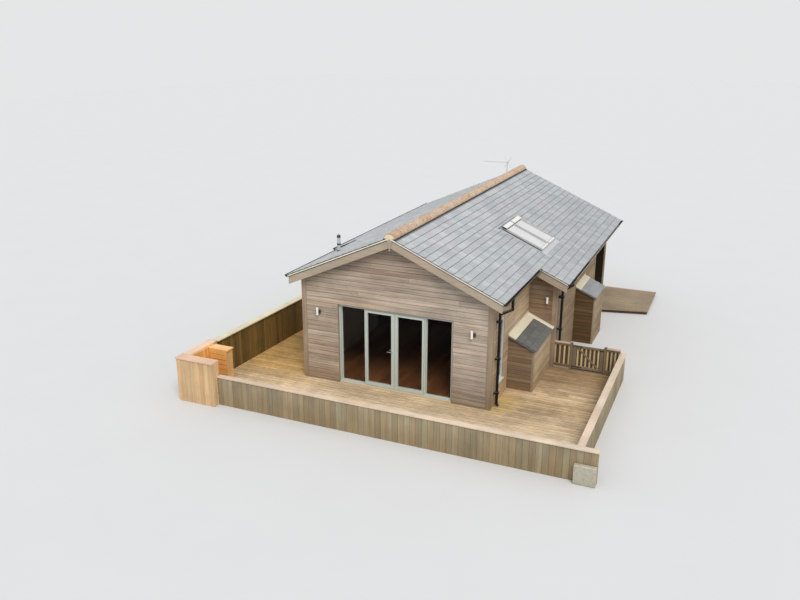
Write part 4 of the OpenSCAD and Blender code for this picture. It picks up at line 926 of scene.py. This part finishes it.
b = Build("decking")
decking(b, lambda y: (left_x(y) + 0.003, YARD_RIGHT), YARD_FRONT + 0.002, face_y - 0.002)
decking(b, lambda y: (left_x(y) + 0.003, -face_x - 0.001), face_y + 0.002, ret_face)
decking(b, lambda y: (face_x + 0.001, YARD_RIGHT), face_y + 0.002, ret_face)
b.piece("deck_boards", replaces="deck")

# Platform whose front edge is askew
PX0, PX1, PY0, PY1, PLATFORM_TOP, ROWS = 3.221, 4.96, 3.125, 5.775, 0.12, 21
SKEW = math.tan(math.radians(13))


def skewed(x, y):
    """A place in plan, so far behind the skewed edge at x."""
    return x, y + PY0 + (x - PX0) * SKEW


b = Build("platform_boards", "platform_rim")
row = (PY1 - PY0) / ROWS
for k in range(ROWS):
    a, e = PY0 + row * k + JOINT, PY0 + row * (k + 1) - JOINT
    b.fresh()
    xa, xe = (PX0 + (y - PY0) / SKEW for y in (a, e))
    if xa < PX1 < xe:
        corners = [(PX0, a), (xa, a), (PX1, min(e, skewed(PX1, 0)[1])), (PX1, e), (PX0, e)]
    else:
        corners = [(PX0, a), (min(PX1, xa), a), (min(PX1, xe), e), (PX0, e)]
    b.prism(corners, PLATFORM_TOP - DECK_T, PLATFORM_TOP - rng.uniform(0, DECK_WEAR), X)
b.use("platform_rim")
rim = [skewed(PX0, 0.035), skewed(PX1 - 0.03, 0.035), (PX1 - 0.03, PY1 - 0.03), (PX0, PY1 - 0.03)]
front_in = PY0 + 0.088 + (PX1 - 0.11 - PX0) * SKEW
inner = [(PX0 + 0.04, PY0 + 0.088), (PX1 - 0.07, front_in),
         (PX1 - 0.07, PY1 - 0.07), (PX0 + 0.04, PY1 - 0.07)]
for i in range(4):
    b.fresh()
    j = (i + 1) % 4
    along = Vector((rim[j][0] - rim[i][0], rim[j][1] - rim[i][1], 0)).normalized()
    b.prism([rim[i], rim[j], inner[j], inner[i]], 0.0, PLATFORM_TOP - 0.029, along)
for k in (1, 2, 3):
    x = PX0 + k * 0.42
    b.block((x, skewed(x + 0.045, 0.1)[1], 0), (x + 0.045, PY1 - 0.071, PLATFORM_TOP - 0.029), Y)
b.piece("platform_boards", replaces="rear_platform")

THIN, FOOT = 0.02, 0.004  # an upright board's thickness, and its gap over the ground


def uprights(b, o, along, out, length, top, width=0.14):
    """Vertical boards side by side on a face through o."""
    n = max(1, round(length / width))
    step = length / n
    for k in range(n):
        b.plank(Vector((*o[:2], FOOT)) + along * (k * step + 0.0015), Z, along, out, top - FOOT, step - 0.003,
                THIN, 0.004, wear=0.0025)


def cap(b, o, along, across, length, width, z, longest=2.4):
    """Planks end to end on top of a wall."""
    n = math.ceil(length / longest)
    step = length / n
    for k in range(n):
        b.plank(Vector((*o[:2], z)) + along * (k * step + 0.001), along, across, Z, step - 0.002, width,
                0.03, 0.004)


b = Build("low_wall_boards", "cap_planks", "concrete")
wall_x0, wall_x1 = -3.719, YARD_RIGHT + FENCE_T + 0.32
wall_l, wall_y = wall_x1 - wall_x0, YARD_FRONT - FENCE_T
end_l = FENCE_T - 0.044
uprights(b, (wall_x0, wall_y + THIN), X, -Y, wall_l, WALL_TOP)
uprights(b, (wall_x0, YARD_FRONT - THIN), X, Y, wall_l, WALL_TOP)
uprights(b, (wall_x1 - THIN, wall_y + 0.022), Y, X, end_l, WALL_TOP, 0.07)
uprights(b, (wall_x0 + THIN, wall_y + 0.022), Y, -X, end_l, WALL_TOP, 0.07)
b.use("cap_planks")
cap(b, (wall_x0, wall_y - 0.02), X, Y, wall_l + 0.02, 0.15, WALL_TOP, 3.0)
b.use("concrete")
b.block((YARD_RIGHT - 0.02, wall_y - 0.12, 0), (wall_x1, wall_y - 0.001, 0.43), X, 0.02)
b.piece("front_wall_boards", replaces="front_low_wall")

b = Build("low_wall_boards", "cap_planks")
right_l = -2.215 + 0.16 - YARD_FRONT
for x, out in ((YARD_RIGHT + THIN, -X), (YARD_RIGHT + 0.09, X)):
    uprights(b, (x, YARD_FRONT + 0.001), Y, out, right_l, WALL_TOP)
uprights(b, (YARD_RIGHT + 0.022, YARD_FRONT + right_l - THIN), X, Y, end_l, WALL_TOP, 0.07)
b.use("cap_planks")
cap(b, (YARD_RIGHT - 0.02, YARD_FRONT + 0.021), Y, -X, right_l, -0.15, WALL_TOP + 0.0005)
b.piece("right_wall_boards", replaces="right_low_wall")

# Left fence: a skin on rails and posts, and a pair of thicker arms at its front
b = Build("fence_boards", "fence_cap", "arm_boards", "joist", "arm_caps")
fence_dir = Vector((math.sin(FENCE_TURN), math.cos(FENCE_TURN), 0))
fence_out = Vector((fence_dir.y, -fence_dir.x, 0))
AX, AY = -4.539, -6.36  # the arms' inner face and back end
start = Vector((left_x(AY), AY, 0))
fence_l = (ret_face - AY) / math.cos(FENCE_TURN)
uprights(b, start - fence_out * 0.022, fence_dir, fence_out, fence_l, FENCE_TOP, 0.115)
b.use("joist")
for z in (0.15, 0.6, FENCE_TOP - 0.06):
    b.plank(start - fence_out * 0.054 + Z * z, fence_dir, Z, fence_out, fence_l, 0.06, 0.0315)
for k in range(4):
    o = start + fence_dir * (k * (fence_l - 0.07) / 3) - fence_out * FENCE_T
    b.plank(o, Z, fence_dir, fence_out, FENCE_TOP, 0.07, 0.056)
b.use("fence_cap")
cap(b, start - fence_out * 0.15 - fence_dir * 0.07, fence_dir, fence_out, fence_l + 0.07, 0.19, FENCE_TOP)
b.use("arm_boards")
for x, y, along, out, length, width in (
        (AX - 0.22, -7.7, Y, -X, 1.34, 0.14), (AX - 0.02, -7.45, Y, X, 1.09, 0.12),
        (AX - 0.238, -7.7, X, -Y, wall_x0 - AX + 0.238, 0.14),
        (AX + 0.002, -7.47, X, Y, wall_x0 - AX - 0.002, 0.14),
        (wall_x0 - THIN, -7.698, Y, X, 0.226, 0.12), (AX - 0.218, AY - THIN, X, Y, 0.196, 0.1)):
    uprights(b, (x, y), along, out, length, ARM_TOP, width)
b.use("arm_caps")
cap(b, (AX, -7.448), Y, -X, 1.088, 0.26, ARM_TOP, 1.2)
cap(b, (AX - 0.26, -7.74), X, Y, wall_x0 - AX + 0.26, 0.29, ARM_TOP, 1.2)
b.piece("left_fence_boards", replaces="left_fence")

# Corner store of fresh wood: a lining on the arm and a slatted back
b = Build("new_wood", "new_wood_pale", "gap_boards")


def lining(y0, y1, cover, top):
    corners = (AX, y0), (left_x(y0) + cover, y0), (left_x(y1) + cover, y1), (AX, y1)
    b.fresh()
    b.prism(corners, DECK, top, Z)


for k in range(7):
    lining(YARD_FRONT + 0.13 * k, YARD_FRONT + 0.13 * (k + 1) - 0.012, 0.02, ARM_TOP)
# A dark filling behind the lining boards: painted shade in their gaps
b.use("gap_boards")
SX0, SX1, SY0, SY1 = -4.493, -3.973, -6.79, -6.53
lining(YARD_FRONT, SY1, 0.008, ARM_TOP - 0.002)
b.use("new_wood")
for face, out in ((SY0 + THIN, -Y), (SY1 - THIN, Y)):
    for k in range(7):
        z = DECK + 0.008 + k * 0.132
        b.plank((SX0, face, z), X, Z, out, SX1 - SX0, min(0.118, 1.07 - z), THIN, 0.004, wear=0.002)
# A dark core inside the slats: painted shade in their gaps
b.use("gap_boards", True)
b.block((SX0 + 0.02, SY0 + 0.021, DECK), (SX1 - 0.02, SY1 - 0.021, 1.065), Z)
b.use("new_wood_pale")
for x in (SX0, SX1 - 0.09):
    b.fresh()
    b.block((x + 0.001, SY0 + 0.0205, DECK), (x + 0.089, SY1 - 0.0205, 1.068), Z)
b.plank((SX1, SY0 + 0.001, DECK + 0.003), Z, Y, X, 0.915, 0.128, 0.001)
cap(b, (SX0, SY0 - 0.005), X, Y, 0.56, 0.265, 1.07)
b.piece("corner_store_boards", replaces="corner_store")

# Picket fence and gate: pale battens on a dark backing
RAIL_Y = -2.25
BATTEN, BATTEN_GAP, BACK_BOARD = 0.045, 0.117, 0.16


def battens(b, x0, x1, z0, z1, cover):
    """Battens with dark boards behind them, which reach out by cover at each end."""
    y = RAIL_Y + 0.0325
    b.use("picket_wood")
    n = round((x1 - x0 - BATTEN) / BATTEN_GAP)
    for k in range(n + 1):
        b.plank((x0 + k * (x1 - x0 - BATTEN) / n, y, z0), Z, X, -Y, z1 - z0, BATTEN, 0.0205, 0.004)
    b.use("backing_boards")
    n = round((x1 - x0 + 2 * cover) / BACK_BOARD)
    w = (x1 - x0 + 2 * cover) / n
    for k in range(n):
        b.plank((x0 - cover + k * w + 0.001, y, z0), Z, X, Y, z1 - z0, w - 0.002, 0.0112, 0.002)


b = Build("picket_wood", "backing_boards", "picket_frame", "picket_cap")
b.use("picket_frame")
for x in (3.7, 4.58):
    b.fresh()
    b.block((x - 0.035, RAIL_Y, 0), (x + 0.035, RAIL_Y + 0.07, 0.899), Z, 0.005)
for x0, x1, foot, kickboard in ((3.251, 3.664, 0.276, "picket_cap"), (4.616, 4.958, 0.277, "picket_frame")):
    battens(b, x0 + 0.001, x1 - 0.001, foot, 0.8, 0.0)
    b.use("picket_frame")
    for z, h in ((0.2, 0.075), (0.8, 0.059)):
        b.fresh()
        b.block((x0, RAIL_Y, z), (x1, RAIL_Y + 0.044, z + h), X, 0.004)
    b.use("picket_cap", True)
    b.block((x0, RAIL_Y - 0.025, 0.86), (x1, RAIL_Y + 0.069, 0.89), X, 0.004)
    b.use(kickboard)
    b.block((x0 + 0.001, RAIL_Y + 0.004, 0.1505), (x1 - 0.001, RAIL_Y + 0.04, 0.1995))
b.use("picket_frame", True)
for y, y1, x1 in ((ret_face + 0.002, RAIL_Y - 0.001, YARD_RIGHT - 0.001),
                  (RAIL_Y, RAIL_Y + 0.04, YARD_RIGHT - 0.002)):
    b.block((3.251, y, 0.004), (x1, y1, DECK - 0.002), X, 0.004)
b.block((3.736, RAIL_Y + 0.047, 0.1485), (4.5445, RAIL_Y + 0.067, 0.225))
b.block((4.522, RAIL_Y + 0.0475, 0.226), (4.5445, RAIL_Y + 0.067, 0.84), Z)
b.piece("picket_boards", replaces="picket_fence")

b = Build("picket_wood", "backing_boards", "picket_frame", "black_iron")
GX0, GX1, GZ0, GZ1, STILE = 3.743, 4.535, 0.2, 0.845, 0.086
b.use("picket_frame")
for x in (GX0, GX1 - 0.085):
    b.fresh()
    b.block((x, RAIL_Y, GZ0), (x + 0.085, RAIL_Y + 0.0435, GZ1), Z, 0.004)
for z, h in ((GZ0, 0.075), (GZ1 - 0.06, 0.06)):
    b.fresh()
    b.block((GX0 + STILE, RAIL_Y + 0.001, z), (GX1 - STILE, RAIL_Y + 0.0435, z + h), X, 0.004)
b.fresh()
brace = [(GX0 + STILE, GZ1 - 0.061), (GX0 + 0.155, GZ1 - 0.061),
         (GX1 - STILE, GZ0 + 0.076), (GX1 - 0.155, GZ0 + 0.076)]
b.rings([[Vector((x, y, z)) for x, z in brace] for y in (RAIL_Y + 0.031, RAIL_Y + 0.005)],
        Vector((GX1 - GX0 - 0.24, 0, GZ0 - GZ1 + 0.137)).normalized())
battens(b, GX0 + 0.105, GX1 - 0.105, GZ0 + 0.076, GZ1 - 0.061, 0.019)
b.use("black_iron", True)
PIN_X, PIN_Y, EYE_R = 3.739, -2.259, 0.0078
angles = [math.pi * i / 8 for i in range(16)]
eye = [(PIN_X + EYE_R * math.cos(a), PIN_Y + EYE_R * math.sin(a)) for a in angles]
for z in (0.236, 0.815):
    b.block((GX0 + 0.002, RAIL_Y - 0.005, z), (GX0 + 0.246, RAIL_Y - 0.0005, z + 0.028), X, 0.001)
    b.prism(eye, z + 0.001, z + 0.041, Z)
b.block((GX1 - 0.1, RAIL_Y - 0.008, 0.775), (GX1 - 0.004, RAIL_Y - 0.0005, 0.812), X, 0.002)
b.piece("gate_boards", body="gate", replaces="gate")

# Thick clips that hold the downpipes, and the dark plates beside the front lamps
b = Build("pipe_plastic")
LOW_CLIPS = (0.367, 1.202, 2.08)
for x, y, wall, heights in ((2.58, -5.205, HALF_W, (0.514, 1.39, 2.31)), (3.34, -2.1, EXT_X, LOW_CLIPS),
                            (-2.58, -1.9, -HALF_W, (0.408, 1.376, 2.393)),
                            (-3.34, 5.205, -EXT_X, LOW_CLIPS)):
    wall += math.copysign(FACE + 0.0005, x)
    for z in heights:
        b.fresh()
        b.block((x - 0.047, y - 0.047, z - 0.03), (x + 0.047, y + 0.047, z + 0.03), Z, 0.008)
        b.block((min(wall, x), y - 0.075, z - 0.022), (max(wall, x), y + 0.075, z + 0.022), Z, 0.006)
b.piece("pipe_clips")

b = Build("black_iron")
for x in (-2.05, 2.02):
    b.fresh()
    b.block((x - 0.028, FRONT - 0.041, 1.955), (x + 0.082, FRONT - FACE - 0.0005, 2.045), Z, 0.006)
    b.block((x + 0.032, FRONT - 0.062, 1.98), (x + 0.062, FRONT - 0.0415, 2.022), Z, 0.006)
b.piece("lamp_plates")

# Trims in the doorway's reveal
b = Build("corner")
for x, out in ((DOOR_X0, X), (DOOR_X1, -X)):
    b.plank((x, FRONT - 0.003, DECK + 0.032), Z, Y, out, DOOR_TOP - DECK - 0.032, 0.052, 0.01)
b.plank((DOOR_X0, FRONT - 0.003, DOOR_TOP), X, Y, -Z, DOOR_X1 - DOOR_X0, 0.052, 0.008)
b.piece("doorway_trims")

# ---- Materials of the CAD nodes that stay

for look, names in {
    "lining": "front_wall_left front_wall_right front_gable left_wall right_wall return_wall extension_wall "
              "porch_side_wall porch_inner_wall porch_end_wall back_wall",
    "soffit": "roof_left roof_right extension_roof",
    "bargeboard": "front_bargeboards back_bargeboards fascias",
    "corner": "corner_boards",
    "gutter_plastic": "gutters",
    "pipe_plastic": "downpipes",
    "flue_metal": "flue",
    "aerial_metal": "aerial",
    "roof_window_metal": "roof_windows",
    "roof_pane": "roof_panes",
    "window_paint": "side_window",
    "door_glass": "side_window_pane side_light_panes left_leaf_pane right_leaf_pane",
    "lamp_steel": "wall_lamps",
    "frame_paint": "door_frame side_lights left_leaf right_leaf",
    "brushed_steel": "door_handle",
    "floor_wood": "floor",
    "joist": "deck_frame",
    "lead": "cupboard_roofs",
}.items():
    for name in names.split():
        materials = NODES[name].data.materials
        materials.clear()
        materials.append(LOOKS[look])

# ---- Stage, camera and lights

scene = bpy.context.scene
floor = bpy.data.meshes.new("stage_floor")
floor.from_pydata([(-90, -60, 0), (90, -60, 0), (90, 160, 0), (-90, 160, 0)], [], [(0, 1, 2, 3)])
t = Tree("stage_floor", 0.9)
t.colour(t.tint((0.6, 0.6, 0.595), t.vary(t.noise(0.6, 2), 0.993, 1.007)))
floor.materials.append(LOOKS["stage_floor"])
floor_o = new_object("stage_floor", floor)

# The camera as solved from the photograph
cam = bpy.data.cameras.new("camera")
cam.sensor_width = 36
cam.lens = 35.79
cam.clip_end = 400
scene.camera = new_object("camera", cam)
yaw, pitch, roll = math.radians(23.739), math.radians(18.335), math.radians(0.127)
scene.camera.matrix_world = (
    Matrix.Translation((7.408, -21.903, 8.535)) @ Matrix.Rotation(yaw, 4, "Z")
    @ Matrix.Rotation(math.pi / 2 - pitch, 4, "X") @ Matrix.Rotation(roll, 4, "Z"))

# A pale sky that lights the hut, and a plain ground behind it where the camera looks at it directly
world = bpy.data.worlds.new("world")
n = Nodes(world)
sky = n.t.nodes["Background"]
n.put(sky, 0, (0.9, 0.94, 1.0))
n.put(sky, 1, 0.85)
seen = n.add("ShaderNodeBackground", {0: (0.785, 0.79, 0.795)})
direct = n.add("ShaderNodeLightPath").outputs["Is Camera Ray"]
pick = n.add("ShaderNodeMixShader", {0: direct, 1: sky.outputs[0], 2: seen.outputs[0]})
n.put(n.t.nodes["World Output"], 0, pick.outputs[0])
scene.world = world

# A soft sun from the front right
key = bpy.data.lights.new("key", "SUN")
key.energy = 2.1
key.angle = math.radians(25)
key.color = (1.0, 0.96, 0.9)
e, a = math.radians(50), math.radians(38)  # its height, and its turn from the front to the right
shine = Vector((-math.cos(e) * math.sin(a), math.cos(e) * math.cos(a), -math.sin(e)))
new_object("key", key).rotation_euler = shine.to_track_quat("-Z", "Y").to_euler()
scene.view_settings.view_transform = "Standard"
